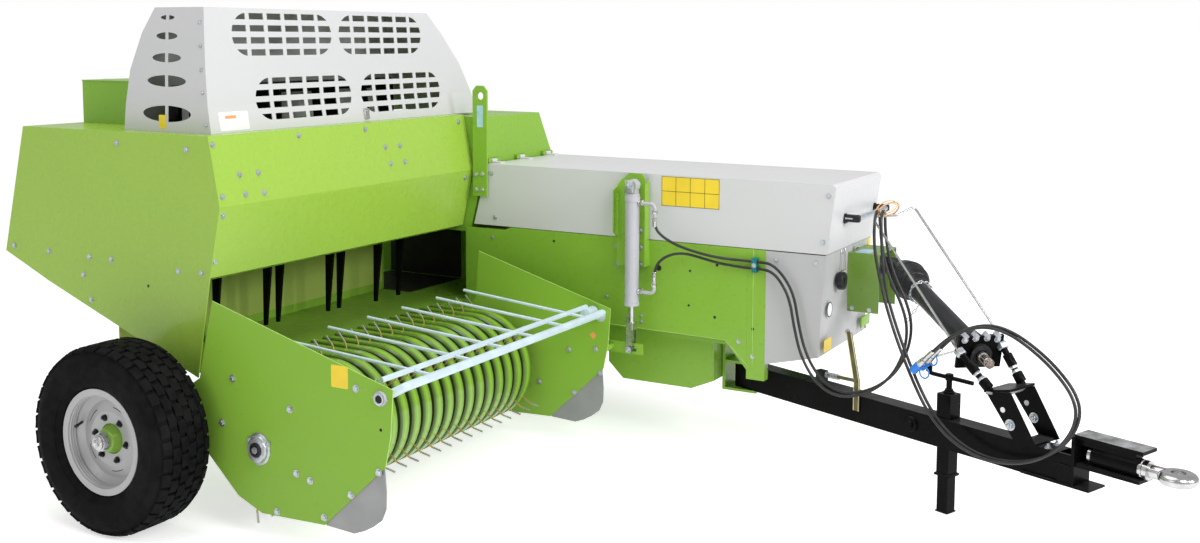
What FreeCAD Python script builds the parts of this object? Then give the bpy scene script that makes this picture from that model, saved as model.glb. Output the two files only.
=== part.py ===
import FreeCAD, Part
import Sketcher
import math
import os
import re

V = FreeCAD.Vector
Rotation = FreeCAD.Rotation
X_AXIS, Y_AXIS, Z_AXIS = V(1, 0, 0), V(0, 1, 0), V(0, 0, 1)

os.makedirs("parts", exist_ok=True)
doc = FreeCAD.newDocument("forage_baler")
sheet = doc.addObject("Spreadsheet::Sheet", "Sizes")

# Machine axes: X forward from the axle, Y left from the chamber's right wall, Z up from the ground.
# Every length is in millimetres and every angle in degrees.
SIZES = [
    # name, value, what it is
    ("origin_x", 1245, "from the axle forward to the middle of the machine's length"),
    ("origin_y", -630, "from the chamber's right wall to the middle of the machine's width"),
    ("sheet_metal", 4, "thickness of the folded covers"),
    ("panel_metal", 5, "thickness of the pickup and side panels"),
    ("clearance", 0.3, "gap between faces that meet on different pieces"),
    ("running_gap", 0.05, "radial gap between a pin and its bore"),
    # wheels and axle
    ("tyre_radius", 380, "outer radius of a tyre"),
    ("tyre_width", 264, "section width of a tyre"),
    ("rim_radius", 212, "radius over the rim's flange"),
    ("rim_seat", 194, "radius of the rim where the bead sits"),
    ("hub_radius", 60, "radius of the wheel hub"),
    ("stub_radius", 30, "radius of the stub axle"),
    ("wheel_right_y", -2020, "middle of the right tyre"),
    ("wheel_left_y", 760, "middle of the left tyre"),
    ("axle_tube", 100, "side of the square axle tube"),
    # bale chamber
    ("bale_width", 460, "inside width of the chamber"),
    ("bale_height", 360, "inside height of the chamber"),
    ("chamber_wall", 6, "thickness of the chamber's walls"),
    ("chamber_floor", 600, "height of the chamber's floor over the ground"),
    ("chamber_rear", -1300, "rear end of the chamber"),
    ("chamber_front", 1826, "front end of the chamber"),
    ("inlet_rear", -300, "rear edge of the feeding opening"),
    ("inlet_front", 250, "front edge of the feeding opening"),
    # front frame
    ("frame_width", 660, "width over the front frame and hood"),
    ("panel_top", 1000, "top edge of the side panels"),
    ("panel_bottom", 560, "bottom edge of the side panels"),
    ("column_front", 1920, "front face of the front columns"),
    ("column_depth", 90, "depth of a front column"),
    ("column_foot", 390, "foot of the front columns"),
    ("cover_front", 2200, "front face of the front cover"),
    # hood
    ("hood_rear", 390, "rear top edge of the hood"),
    ("hood_front", 2245, "front top edge of the hood"),
    ("hood_top", 1318, "top of the hood"),
    # feeder housing
    ("feeder_end", -1760, "outer face of the feeder's end plate"),
    ("feeder_top", 1565, "top of the feeder housing"),
    ("feeder_brow", 1283, "height of the fold in the feeder's front face"),
    ("feeder_sill", 992, "lower edge of the feeder's front face"),
    ("feeder_front", 246, "front top edge of the feeder housing"),
    ("feeder_rear", -872, "rear top edge of the feeder housing"),
    ("cover_top", 2080, "top of the slotted cover"),
    # pickup
    ("pickup_right", -1840, "outer face of the right pickup plate"),
    ("pickup_left", -200, "outer face of the left pickup plate"),
    ("pickup_pivot_x", 153, "pivot of the pickup"),
    ("pickup_pivot_z", 527, "height of the pickup's pivot"),
    ("pickup_pivot_radius", 25, "radius of the pickup's pivot tube"),
    ("reel_x", 565, "reel shaft"),
    ("reel_z", 367, "height of the reel shaft"),
    ("reel_shaft_radius", 22, "radius of the reel shaft"),
    ("tine_circle", 350, "radius of the circle of the tine tips"),
    ("tine_bar_circle", 185, "radius of the circle of the tine bars"),
    ("tine_wire", 6, "thickness of a tine"),
    ("tine_pitch", 79, "spacing of the tines along the reel"),
    ("band_radius", 262, "outer radius of the stripper bands"),
    ("band_edge", 8, "width of the bevel along a stripper band's edges"),
    ("band_gap", 20, "slot between two stripper bands"),
    ("guard_x", 1166, "pivot of the windguard"),
    ("guard_z", 652, "height of the windguard's pivot"),
    ("guard_tube", 17, "radius of the windguard's tube"),
    # lift cylinder
    ("lift_x", 1290, "axis of the lift cylinder"),
    ("lift_y", -122, "distance of the lift cylinder from the chamber's wall"),
    ("lift_top", 1272, "upper pin of the lift cylinder"),
    ("lift_pin_z", 492, "lower pin of the lift cylinder"),
    ("barrel_radius", 34, "radius of the lift cylinder's barrel"),
    ("rod_radius", 15, "radius of the lift cylinder's rod"),
    # drawbar
    ("drawbar_x", 1690, "rear end of the drawbar"),
    ("drawbar_y", 275, "rear end of the drawbar"),
    ("drawbar_angle", -22.5, "direction of the drawbar, turned to the right"),
    ("drawbar_bottom", 280, "underside of the drawbar"),
    ("drawbar_height", 122, "height of the drawbar's box section"),
    ("drawbar_width", 86, "width of the drawbar's box section"),
    ("drawbar_length", 1600, "length of the drawbar's box section"),
    ("eye_reach", 600, "from the drawbar's front end to the centre of the ring"),
    ("eye_radius", 25, "radius of the ring's hole"),
    ("eye_z", 413, "height of the ring"),
    ("jack_reach", 1215, "from the drawbar's rear end to the jack"),
    ("jack_tube", 60, "side of the jack's outer tube"),
    ("jack_wall", 3, "wall of the jack's outer tube"),
    ("jack_gap", 1, "gap between the jack's leg and tube"),
    # power take-off line
    ("gearbox_x", 2330, "flange of the gearbox's input"),
    ("gearbox_y", 455, "axis of the gearbox's input"),
    ("gearbox_z", 898, "height of the gearbox's input"),
    ("bearing_reach", 1352, "from the drawbar's rear end to the shaft bearing"),
    ("bearing_z", 700, "height of the shaft bearing"),
    ("stub_spline", 17.4, "radius of the input stub"),
    ("shaft_guard", 44, "radius of the drive shaft's guard tube"),
    ("hose_radius", 6.5, "radius of a hose"),
]
NAMES = {name for name, _, _ in SIZES}

for row, (name, value, meaning) in enumerate(SIZES, start=1):
    sheet.set(f"A{row}", name)
    sheet.set(f"B{row}", str(value))
    sheet.set(f"C{row}", meaning)
    sheet.setAlias(f"B{row}", name)
doc.recompute()


def bound(expression):
    """The expression with each size's name pointing at its cell."""
    return re.sub(r"[A-Za-z_]\w*", lambda m: "Sizes." + m[0] if m[0] in NAMES else m[0], str(expression))


def num(expression):
    """The present value of an expression of sizes."""
    if isinstance(expression, (int, float)):
        return float(expression)
    return float(sheet.evalExpression(expression))


def vec(x, y, z):
    return V(num(x), num(y), num(z))


def bind(obj, **sizes):
    for prop, expression in sizes.items():
        setattr(obj, prop, num(expression))
        if not isinstance(expression, (int, float)):
            obj.setExpression(prop, bound(expression))
    return obj


def place(obj, at, axis=Z_AXIS, angle=0):
    obj.Placement = FreeCAD.Placement(vec(*at), Rotation(axis, num(angle)))
    return obj


def turned(direction):
    """The rotation that takes +Z to a direction."""
    return Rotation(Z_AXIS, direction)


# ---------------------------------------------------------------- building blocks

def box(name, size, corner, axis=Z_AXIS, angle=0):
    """A block from its lowest corner."""
    obj = doc.addObject("Part::Box", name)
    bind(obj, Length=size[0], Width=size[1], Height=size[2])
    return place(obj, corner, axis, angle)


def rod(name, radius, start, end):
    """A round bar between two points."""
    a, b = vec(*start), vec(*end)
    obj = doc.addObject("Part::Cylinder", name)
    bind(obj, Radius=radius, Height=(b - a).Length)
    obj.Placement = FreeCAD.Placement(a, turned(b - a))
    return obj


def disc(name, radius, height, at, direction):
    """A cylinder from the middle of its first face along a direction."""
    obj = doc.addObject("Part::Cylinder", name)
    bind(obj, Radius=radius, Height=height)
    obj.Placement = FreeCAD.Placement(vec(*at), turned(direction))
    return obj


def collar(name, radius, bore, length, at, direction):
    """A ring about a shaft."""
    behind = tuple(f"{c} - {d} * ({length})" for c, d in zip(at, direction))
    return cut(name, disc(name + "_outer", radius, length, at, direction),
               [disc(name + "_bore", bore, f"3 * ({length})", behind, direction)])


def fuse(name, pieces):
    obj = doc.addObject("Part::MultiFuse", name)
    obj.Shapes = pieces
    return obj


def cut(name, base, tools):
    tool = tools[0] if len(tools) == 1 else fuse(name + "_tools", tools)
    obj = doc.addObject("Part::Cut", name)
    obj.Base, obj.Tool = base, tool
    return obj


def group(name, pieces):
    """Solids that don't touch, kept as one node."""
    obj = doc.addObject("Part::Compound", name)
    obj.Links = pieces
    return obj


def origin_plane(body, role):
    return next(f for f in body.Origin.OriginFeatures if f.Role == role)


def sketch(body, plane, outline, circles=()):
    """A closed outline of expression pairs, with round holes, on one of the body's own planes."""
    drawing = body.newObject("Sketcher::SketchObject", body.Name + "_sketch")
    drawing.AttachmentSupport = (origin_plane(body, plane), [""])
    drawing.MapMode = "FlatFace"
    if outline:
        corners = [V(num(u), num(v), 0) for u, v in outline]
        count = len(corners)
        for i, corner in enumerate(corners):
            drawing.addGeometry(Part.LineSegment(corner, corners[(i + 1) % count]), False)
        for i in range(count):
            drawing.addConstraint(Sketcher.Constraint("Coincident", i, 2, (i + 1) % count, 1))
        for i, (u, v) in enumerate(outline):
            for kind, value in (("DistanceX", u), ("DistanceY", v)):
                fix(drawing, Sketcher.Constraint(kind, -1, 1, i, 1, num(value)), value)
    for u, v, radius in circles:
        circle = drawing.addGeometry(Part.Circle(V(num(u), num(v), 0), Z_AXIS, num(radius)), False)
        for kind, value in (("DistanceX", u), ("DistanceY", v)):
            fix(drawing, Sketcher.Constraint(kind, -1, 1, circle, 3, num(value)), value)
        fix(drawing, Sketcher.Constraint("Radius", circle, num(radius)), radius)
    return drawing


def fix(drawing, constraint, value):
    index = drawing.addConstraint(constraint)
    if not isinstance(value, (int, float)):
        drawing.setExpression(f"Constraints[{index}]", bound(value))


def plate(name, plane, outline, thickness, at=(0, 0, 0), circles=(), axis=Z_AXIS, angle=0):
    """A flat piece: XZ plates grow towards -Y, YZ plates towards +X and XY plates towards +Z."""
    body = doc.addObject("PartDesign::Body", name)
    pad = body.newObject("PartDesign::Pad", name + "_pad")
    pad.Profile = sketch(body, plane, outline, circles)
    bind(pad, Length=thickness)
    return place(body, at, axis, angle)


def revolved(name, plane, outline, at=(0, 0, 0), axis="H_Axis"):
    """A turned piece about its sketch's own axis."""
    body = doc.addObject("PartDesign::Body", name)
    turn = body.newObject("PartDesign::Revolution", name + "_turn")
    turn.Profile = sketch(body, plane, outline)
    turn.ReferenceAxis = (turn.Profile[0], [axis])
    turn.Angle = 360
    return place(body, at)


def folded(name, path, thickness, width, at):
    """A folded sheet: an open profile in XZ, thickened to its left, as wide as given towards -Y."""
    points = [V(num(x), 0, num(z)) for x, z in path]
    gap = num(thickness)
    normals = []
    for a, b in zip(points, points[1:]):
        run = (b - a).normalize()
        normals.append(V(-run.z, 0, run.x))
    inner = [points[0] + normals[0] * gap]
    for i in range(1, len(points) - 1):
        middle = (normals[i - 1] + normals[i]).normalize()
        inner.append(points[i] + middle * (gap / middle.dot(normals[i])))
    inner.append(points[-1] + normals[-1] * gap)
    loop = points + inner[::-1]
    face = Part.Face(Part.makePolygon(loop + [loop[0]]))
    obj = doc.addObject("Part::Feature", name)
    obj.Shape = face.extrude(V(0, -num(width), 0))
    return place(obj, at)


def pipe(name, points, radius, bend):
    """A bent round bar: straight runs joined by arcs of one radius."""
    corners = [vec(*p) for p in points]
    obj = doc.addObject("Part::Feature", name)
    obj.Shape = tube_along(corners, num(radius), lambda run, turn: num(bend))
    return obj


def tube_along(corners, radius, bend_radius):
    """A solid round bar along corners, with each corner rounded by bend_radius(shorter run, turn)."""
    edges, start = [], corners[0]
    for before, corner, after in zip(corners, corners[1:], corners[2:]):
        back, ahead = (before - corner).normalize(), (after - corner).normalize()
        turn = math.pi - back.getAngle(ahead)
        bend = bend_radius(min((before - corner).Length, (after - corner).Length), turn)
        reach = bend * math.tan(turn / 2)
        first, last = corner + back * reach, corner + ahead * reach
        centre = corner + (back + ahead).normalize() * (bend / math.cos(turn / 2))
        middle = centre + (corner - centre).normalize() * bend
        edges.append(Part.LineSegment(start, first).toShape())
        edges.append(Part.Arc(first, middle, last).toShape())
        start = last
    edges.append(Part.LineSegment(start, corners[-1]).toShape())
    path = Part.Wire(edges)
    ring = Part.Wire(Part.makeCircle(radius, corners[0], corners[1] - corners[0]))
    return path.makePipeShell([ring], True, False)


# ---------------------------------------------------------------- wheels and axle

def wheel(side, middle, outward):
    """A tyre on its rim, turning on a stub axle; outward is -1 on the right and 1 on the left."""
    half = "tyre_width / 2"
    bead = "rim_seat + clearance"
    tyre = revolved("tyre_" + side, "YZ_Plane", [
        ("-tyre_width * 0.36 + clearance", bead), ("-tyre_width * 0.36 + clearance", "rim_radius + 2"),
        ("-tyre_width * 0.49", "rim_radius + 24"),
        ("-" + half, "rim_radius + 78"), ("-tyre_width * 0.47", "tyre_radius - 32"),
        ("-tyre_width * 0.40", "tyre_radius - 7"), ("-tyre_width * 0.2", "tyre_radius"),
        ("tyre_width * 0.2", "tyre_radius"), ("tyre_width * 0.40", "tyre_radius - 7"),
        ("tyre_width * 0.47", "tyre_radius - 32"), (half, "rim_radius + 78"),
        ("tyre_width * 0.49", "rim_radius + 24"), ("tyre_width * 0.36 - clearance", "rim_radius + 2"),
        ("tyre_width * 0.36 - clearance", bead),
    ], at=(0, middle, "tyre_radius"))
    # u runs from the wheel's middle outwards
    def u(value):
        return f"{outward} * ({value})"
    flange = "tyre_width * 0.36"
    disc_and_rim = revolved("rim_disc_" + side, "YZ_Plane", [
        (u(f"-{flange}"), "rim_seat - 8"), (u(f"-{flange}"), "rim_seat"), (u(flange), "rim_seat"),
        (u(f"{flange} + 3"), "rim_radius"), (u(f"{flange} + 9"), "rim_radius"),
        (u(f"{flange} + 7"), "rim_seat - 8"), (u("62"), "rim_seat - 8"), (u("44"), "rim_seat - 40"),
        (u("52"), "hub_radius + 50"), (u("46"), "hub_radius + 0.5"), (u("38"), "hub_radius + 0.5"),
        (u("44"), "hub_radius + 52"), (u("36"), "rim_seat - 46"), (u("40"), "rim_seat - 8"),
    ], at=(0, middle, "tyre_radius"))
    hub = revolved("hub_" + side, "YZ_Plane", [
        (u("-60"), "stub_radius + running_gap"), (u("-60"), "hub_radius - 8"), (u("20"), "hub_radius - 8"),
        (u("20"), "hub_radius + 42"), (u("39"), "hub_radius + 42"), (u("39"), "hub_radius"),
        (u("74"), "hub_radius - 16"), (u("78"), "hub_radius - 24"), (u("96"), "hub_radius - 30"),
        (u("100"), "hub_radius - 36"), (u("100"), 0), (u("70"), 0), (u("70"), "stub_radius + running_gap"),
    ], at=(0, middle, "tyre_radius"))
    return tyre, fuse("rim_" + side, [disc_and_rim, hub])


NODES = []


def node(name, obj):
    """Names a finished sub-part and moves it from the machine's axes to the part's origin."""
    obj.Label = name
    shift = FreeCAD.Placement(V(-num("origin_x"), -num("origin_y"), 0), Rotation())
    obj.Placement = shift.multiply(obj.Placement)
    NODES.append(obj)
    return obj


for side, middle, outward in (("right", "wheel_right_y", -1), ("left", "wheel_left_y", 1)):
    for piece in wheel(side, middle, outward):
        node(piece.Name, piece)

AXLE_END_RIGHT = "wheel_right_y + 64"
AXLE_END_LEFT = "wheel_left_y - 64"
axle = [
    box("axle_tube_bar", ("axle_tube", f"{AXLE_END_LEFT} - ({AXLE_END_RIGHT})", "axle_tube"),
        ("-axle_tube / 2", AXLE_END_RIGHT, "tyre_radius - axle_tube / 2")),
    rod("axle_stub_right", "stub_radius", (0, "wheel_right_y - 66", "tyre_radius"),
        (0, f"{AXLE_END_RIGHT} + 10", "tyre_radius")),
    rod("axle_stub_left", "stub_radius", (0, f"{AXLE_END_LEFT} - 10", "tyre_radius"),
        (0, "wheel_left_y + 66", "tyre_radius")),
] + [box(f"axle_strut_{i}", (80, 60, "chamber_floor - sheet_metal - clearance - tyre_radius - axle_tube / 2"),
     (-40, y, "tyre_radius + axle_tube / 2")) for i, y in enumerate((-1540, -880))]

# ---------------------------------------------------------------- bale chamber

CHAMBER_OUTER = "bale_width + 2 * chamber_wall"
CHAMBER_TOP = "chamber_floor + bale_height + chamber_wall"
CHAMBER_LENGTH = "chamber_front - chamber_rear"
FLOOR_UNDER = "chamber_floor - chamber_wall"

chamber = cut("bale_channel", box(
    "chamber_outer", (CHAMBER_LENGTH, CHAMBER_OUTER, "bale_height + 2 * chamber_wall"),
    ("chamber_rear", 0, FLOOR_UNDER)), [
    box("chamber_inside", (f"{CHAMBER_LENGTH} + 20", "bale_width", "bale_height"),
        ("chamber_rear - 10", "chamber_wall", "chamber_floor")),
    box("chamber_inlet", ("inlet_front - inlet_rear", "chamber_wall + 20", "bale_height"),
        ("inlet_rear", -20, "chamber_floor")),
    box("chamber_rear_top", (700, "bale_width", 40),
        ("chamber_rear - 10", "chamber_wall", "chamber_floor + bale_height - 10")),
    box("chamber_crank_top", (1100, "bale_width", 40),
        ("chamber_front - 1060", "chamber_wall", "chamber_floor + bale_height - 10")),
    box("needle_slot_right", (160, 40, 40), (-440, 110, "chamber_floor - 20")),
    box("needle_slot_left", (160, 40, 40), (-440, "bale_width - 138", "chamber_floor - 20")),
    box("knotter_slot_right", (260, 30, 40), (-420, 115, "chamber_floor + bale_height - 10")),
    box("knotter_slot_left", (260, 30, 40), (-420, "bale_width - 133", "chamber_floor + bale_height - 10")),
])

# Ribs that stiffen the chamber's walls: x of each
RIBS = [-1280, -1000, -720]
ribs = [chamber]
for i, x in enumerate(RIBS):
    for side, y in (("right", "-30"), ("left", CHAMBER_OUTER)):
        ribs.append(box(f"chamber_rib_{side}_{i}", (40, 30, "bale_height + 2 * chamber_wall"),
                        (x, y, FLOOR_UNDER)))
    ribs.append(box(f"chamber_rib_under_{i}", (40, CHAMBER_OUTER, 40), (x, 0, f"{FLOOR_UNDER} - 40")))
node("bale_chamber", fuse("bale_chamber", ribs))

node("plunger", fuse("plunger", [
    box("plunger_block", (420, "bale_width - 16", "bale_height - 16"),
        (330, "chamber_wall + 8", "chamber_floor + 8")),
    box("plunger_runner_right", (440, 24, 10), (306, 60, "chamber_floor + clearance")),
    box("plunger_runner_left", (440, 24, 10), (306, 380, "chamber_floor + clearance")),
    box("plunger_face", (24, "bale_width - 12", "bale_height - 12"),
        (306, "chamber_wall + 6", "chamber_floor + 6")),
]))
node("gearbox_and_flywheel", fuse("gearbox_and_flywheel", [
    box("gearbox_block", (430, 380, 540), (1440, 60, "chamber_floor + clearance")),
    disc("flywheel_disc", 190, 110, (1985, "gearbox_y", 800), X_AXIS),
    disc("gearbox_shaft", 60, "gearbox_x - 1850", (1850, "gearbox_y", "gearbox_z"), X_AXIS),
]))

# ---------------------------------------------------------------- front frame


def side_panel(name, y):
    return plate(name, "XZ_Plane", [
        ("inlet_front + 4", "panel_bottom + 80"), ("inlet_front + 50", "panel_bottom"),
        ("column_front - 200", "panel_bottom"), ("column_front - column_depth - clearance", "column_foot + 44"),
        ("column_front - column_depth - clearance", "panel_top"), ("inlet_front + 280", "panel_top"),
        ("inlet_front + 244", "panel_top - 15"), ("inlet_front + 4", "panel_top - 15"),
    ], "panel_metal", at=(0, y, 0))


panels = [fuse("side_panel_right", [
    side_panel("panel_right_sheet", "-clearance"),
    box("panel_right_lip", (112, 50, 4), ("inlet_front + 126", "-clearance - 2", "panel_top - 19")),
]), plate("side_panel_left", "XZ_Plane", [
    ("inlet_front + 250", "panel_bottom"), ("column_front - 200", "panel_bottom"),
    ("column_front - column_depth - clearance", "column_foot + 44"),
    ("column_front - column_depth - clearance", "panel_top"), ("inlet_front + 250", "panel_top"),
], "panel_metal", at=(0, "frame_width", 0))]


def column(side, y, inward):
    """A front column of folded channel, open towards the machine's middle."""
    wall, reach = "panel_metal + 1", 45
    return plate("front_column_" + side, "XY_Plane", [
        ("column_front - column_depth", y), ("column_front", y),
        ("column_front", f"{y} + {inward} * {reach}"), (f"column_front - {wall}", f"{y} + {inward} * {reach}"),
        (f"column_front - {wall}", f"{y} + {inward} * ({wall})"),
        (f"column_front - column_depth + {wall}", f"{y} + {inward} * ({wall})"),
        (f"column_front - column_depth + {wall}", f"{y} + {inward} * {reach}"),
        ("column_front - column_depth", f"{y} + {inward} * {reach}"),
    ], "panel_top - column_foot", at=(0, 0, "column_foot"))


node("front_columns", group("front_columns", [
    column("right", "-panel_metal", 1), column("left", "frame_width", -1)]))

# The floor frame ties the side panels, the axle and the drawbar's hinge together.
FRAME_Z = f"{FLOOR_UNDER} - clearance - 60"
node("chassis", fuse("chassis", axle + [
    box("floor_beam_right", ("column_front - column_depth + 60", 60, 60), (-60, 20, FRAME_Z)),
    box("floor_beam_left", ("column_front - column_depth + 60", 60, 60), (-60, "bale_width - 80", FRAME_Z)),
    box("floor_cross_front", (60, "frame_width - 2 * panel_metal", 60),
        ("column_front - column_depth - 70", "0", FRAME_Z)),
    box("floor_cross_rear", (60, "frame_width - 2 * panel_metal", 60), (480, 0, FRAME_Z)),
    box("axle_post_right", (90, 60, f"{FRAME_Z} - (tyre_radius + axle_tube / 2)"),
        (-45, 20, "tyre_radius + axle_tube / 2")),
    box("axle_post_left", (90, 60, f"{FRAME_Z} - (tyre_radius + axle_tube / 2)"),
        (-45, "bale_width - 80", "tyre_radius + axle_tube / 2")),
    box("drawbar_ear_low", (160, 126, 12), (1640, 189, "drawbar_bottom - 12 - clearance")),
    box("drawbar_ear_high", (160, 126, 12), (1640, 189, "drawbar_bottom + drawbar_height + clearance")),
    box("drawbar_web", (14, 126, f"{FRAME_Z} + 60 - (drawbar_bottom - 12 - clearance)"),
        (1626, 189, "drawbar_bottom - 12 - clearance")),
    box("drawbar_tie", (60, "bale_width - 40", 60), (1580, 20, FRAME_Z)),
    disc("drawbar_pin", 20, "drawbar_height + 10", ("drawbar_x + 60 * cos(drawbar_angle)",
         "drawbar_y + 60 * sin(drawbar_angle)", "drawbar_bottom - 5"), Z_AXIS),
]))

panels.append(cut("belly_pan", plate("belly_outer", "XZ_Plane", [
    (1046, 352), (1128, 275), (1503, 275), (1620, 326), (1620, f"{FRAME_Z} - clearance"),
    (1046, f"{FRAME_Z} - clearance"),
], 130, at=(0, 230, 0)), [plate("belly_inner", "XZ_Plane", [
    (1050, 354), (1130, 279), (1502, 279), (1616, 329), (1616, 560), (1050, 560),
], 122, at=(0, 226, 0))]))
node("side_panels", group("side_panels", panels))

node("front_cover", cut("front_cover", plate("cover_outer", "XZ_Plane", [
    ("column_front + clearance", 470), ("cover_front - 22", 532), ("cover_front", "panel_top - 2"),
    ("column_front + clearance", "panel_top - 2"),
], "frame_width + panel_metal", at=(0, "frame_width", 0)), [
    plate("cover_inner", "XZ_Plane", [
        ("column_front - 10", 440), ("cover_front - 28", 500), ("cover_front - 4", "panel_top - 6"),
        ("column_front - 10", "panel_top - 6"),
    ], "frame_width - 3", at=(0, "frame_width - 4", 0)),
    disc("cover_shaft_hole", 75, 80, ("cover_front - 50", "gearbox_y", "gearbox_z"), X_AXIS),
]))

node("pto_shield", cut("pto_shield", box("shield_outer", (150, 268, 278), ("cover_front - 1.1", 323, 690)), [
    box("shield_inner", (170, 260, 290), ("cover_front - 10", 327, 674))]))

# ---------------------------------------------------------------- hood

HOOD_RIGHT = "-panel_metal"
HOOD_WIDTH = "frame_width + panel_metal"
HOOD_UNDER = "panel_top + 3"
hood_shell = cut("hood_shell", plate("hood_outer", "XZ_Plane", [
    ("hood_rear - 84", HOOD_UNDER), ("hood_front - 38", HOOD_UNDER), ("hood_front", "hood_top - 14"),
    ("hood_front - 14", "hood_top"), ("hood_rear", "hood_top"),
], HOOD_WIDTH, at=(0, "frame_width", 0)), [plate("hood_inner", "XZ_Plane", [
    ("hood_rear - 84", "panel_top - 20"), ("hood_front - 44", "panel_top - 20"),
    ("hood_front - sheet_metal", "hood_top - 16"), ("hood_front - 17", "hood_top - sheet_metal"),
    ("hood_rear + 3", "hood_top - sheet_metal"),
], f"{HOOD_WIDTH} - 2 * sheet_metal", at=(0, "frame_width - sheet_metal", 0))])

HINGE_X, HINGE_Z = "hood_rear - 6", "hood_top + 12"
HINGES = [("near", 60), ("middle", 325), ("far", 590)]     # side, y of the knuckle's middle
knuckles = [disc(f"hood_knuckle_{side}", 10, 44, (HINGE_X, y - 22, HINGE_Z), Y_AXIS) for side, y in HINGES]
leaves = [box(f"hood_leaf_{side}", (60, 44, 8), ("hood_rear - 6", y - 22, "hood_top")) for side, y in HINGES]
hinge_bore = disc("hood_hinge_bore", "5 + running_gap", "frame_width", (HINGE_X, 0, HINGE_Z), Y_AXIS)
node("hood", cut("hood", fuse("hood_with_knuckles", [hood_shell] + knuckles + leaves), [hinge_bore]))

pins = []
for side, y in HINGES:
    pins.append(disc(f"hood_pin_{side}", 5, 100, (HINGE_X, y - 50, HINGE_Z), Y_AXIS))
    for end, offset in (("a", -46), ("b", 24)):
        pins.append(box(f"hood_lug_{side}_{end}", (22, 22, 22), (f"{HINGE_X} - 18", y + offset, f"{HINGE_Z} - 10")))
node("hood_handle", pipe("hood_handle", [
    ("hood_front - 17.6", 175, 1150), ("hood_front + 42", 175, 1150), ("hood_front + 42", 620, 1150),
    ("hood_front - 17.6", 620, 1150)], 12, 24))

# ---------------------------------------------------------------- knotter cover behind the hood

knotter_profile = [(-160, f"{CHAMBER_TOP} + clearance"), (275, f"{CHAMBER_TOP} + clearance"),
                   ("hood_rear - 21", "hood_top"), ("hood_rear - 21", 1555), (-100, 1555), (-160, 1400)]
knotter_inside = [(-156, 950), (268, 950), ("hood_rear - 25", "hood_top"),
                  ("hood_rear - 25", 1551), (-97, 1551), (-156, 1399)]
taper = [(6, 900), ("frame_width", 900), ("frame_width", "hood_top + 4"), (500, 1600), (6, 1600)]
inner_taper = [(10, 880), ("frame_width - 4", 880), ("frame_width - 4", "hood_top + 3"), (496, 1600), (10, 1600)]
cover_block = doc.addObject("Part::Common", "knotter_cover_block")
cover_block.Base = plate("knotter_outer", "XZ_Plane", knotter_profile, "frame_width", at=(0, "frame_width", 0))
cover_block.Tool = plate("knotter_taper", "YZ_Plane", taper, 800, at=(-300, 0, 0))
cover_void = doc.addObject("Part::Common", "knotter_cover_void")
cover_void.Base = plate("knotter_inner", "XZ_Plane", knotter_inside, "frame_width", at=(0, "frame_width", 0))
cover_void.Tool = plate("knotter_inner_taper", "YZ_Plane", inner_taper, 800, at=(-300, 0, 0))
node("knotter_cover", fuse("knotter_cover", [cut("knotter_cover_shell", cover_block, [cover_void])] + pins))

# x and y of the two knotters' middles
KNOTTERS = [("right", 130), ("left", "bale_width - 118")]
knotters = [disc("knotter_shaft", 18, f"{CHAMBER_OUTER} - 60", (-290, 30, 1130), Y_AXIS)]
for side, y in KNOTTERS:
    knotters += [
        disc(f"knotter_disc_{side}", 105, 22, (-290, f"{y} - 11", 1130), Y_AXIS),
        box(f"knotter_frame_{side}", (90, 60, 190), (-400, f"{y} - 30", f"{CHAMBER_TOP} + clearance")),
        rod(f"knotter_arm_{side}", 14, (-360, y, 1010), (-290, y, 1130)),
        box(f"knotter_hook_{side}", (120, 24, 40), (-420, f"{y} - 12", 1156)),
    ]
for side, y in (("right", 20), ("left", f"{CHAMBER_OUTER} - 44")):
    knotters.append(box(f"knotter_stand_{side}", (120, 24, 190), (-350, y, f"{CHAMBER_TOP} + clearance")))
node("knotters", fuse("knotters", knotters))

# ---------------------------------------------------------------- feeder housing

FEEDER_LENGTH = "-feeder_end - panel_metal - 2 * clearance"
housing = [plate("feeder_end_plate", "XZ_Plane", [
    ("feeder_rear - 148", "panel_top + 2"), (-737, 890), (158, 575), (237, "feeder_sill"),
    ("feeder_front + 56", "feeder_brow"), ("feeder_front", "feeder_top"), ("feeder_rear", "feeder_top"),
], "panel_metal", at=(0, "feeder_end + panel_metal", 0)), folded("feeder_front", [
    (200, "feeder_sill - 14"), (232, "feeder_sill"), ("feeder_front + 50", "feeder_brow"),
    ("feeder_front - 4", "feeder_top - 4"),
], "sheet_metal", FEEDER_LENGTH, at=(0, "-clearance", 0))]
COVER_HINGE = (-348, "feeder_top + 12")
COVER_KNUCKLES = (-1500, -840, -180)
deck_lugs = []
for i, y in enumerate(COVER_KNUCKLES):
    deck_lugs.append(disc(f"cover_pin_{i}", 4, 80, (COVER_HINGE[0], y - 40, COVER_HINGE[1]), Y_AXIS))
    for end, offset in (("a", -40), ("b", 22)):
        deck_lugs.append(box(f"cover_lug_{i}_{end}", (18, 18, 20),
                             (COVER_HINGE[0] - 9, y + offset, "feeder_top - 1")))
housing.append(fuse("feeder_deck", deck_lugs + [cut("feeder_deck_plate", box("feeder_deck_sheet", (
    "feeder_front - feeder_rear - 4", FEEDER_LENGTH, "sheet_metal"),
    ("feeder_rear", "feeder_end + panel_metal + clearance", "feeder_top - sheet_metal")), [
    box("feeder_deck_slot", (380, 1360, 20), (-290, -1590, "feeder_top - 12"))])]))
node("feeder_housing", group("feeder_housing", housing))
node("feeder_trough", folded("feeder_trough", [
    (240, "chamber_floor - 24"), (222, "chamber_floor"), ("inlet_rear - 4", "chamber_floor"),
    ("inlet_rear - 4", "panel_top + 4"), ("feeder_rear - 138", "panel_top + 4"),
    ("feeder_rear", "feeder_top - 4.3"),
], "sheet_metal", FEEDER_LENGTH, at=(0, "-clearance", 0)))

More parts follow.
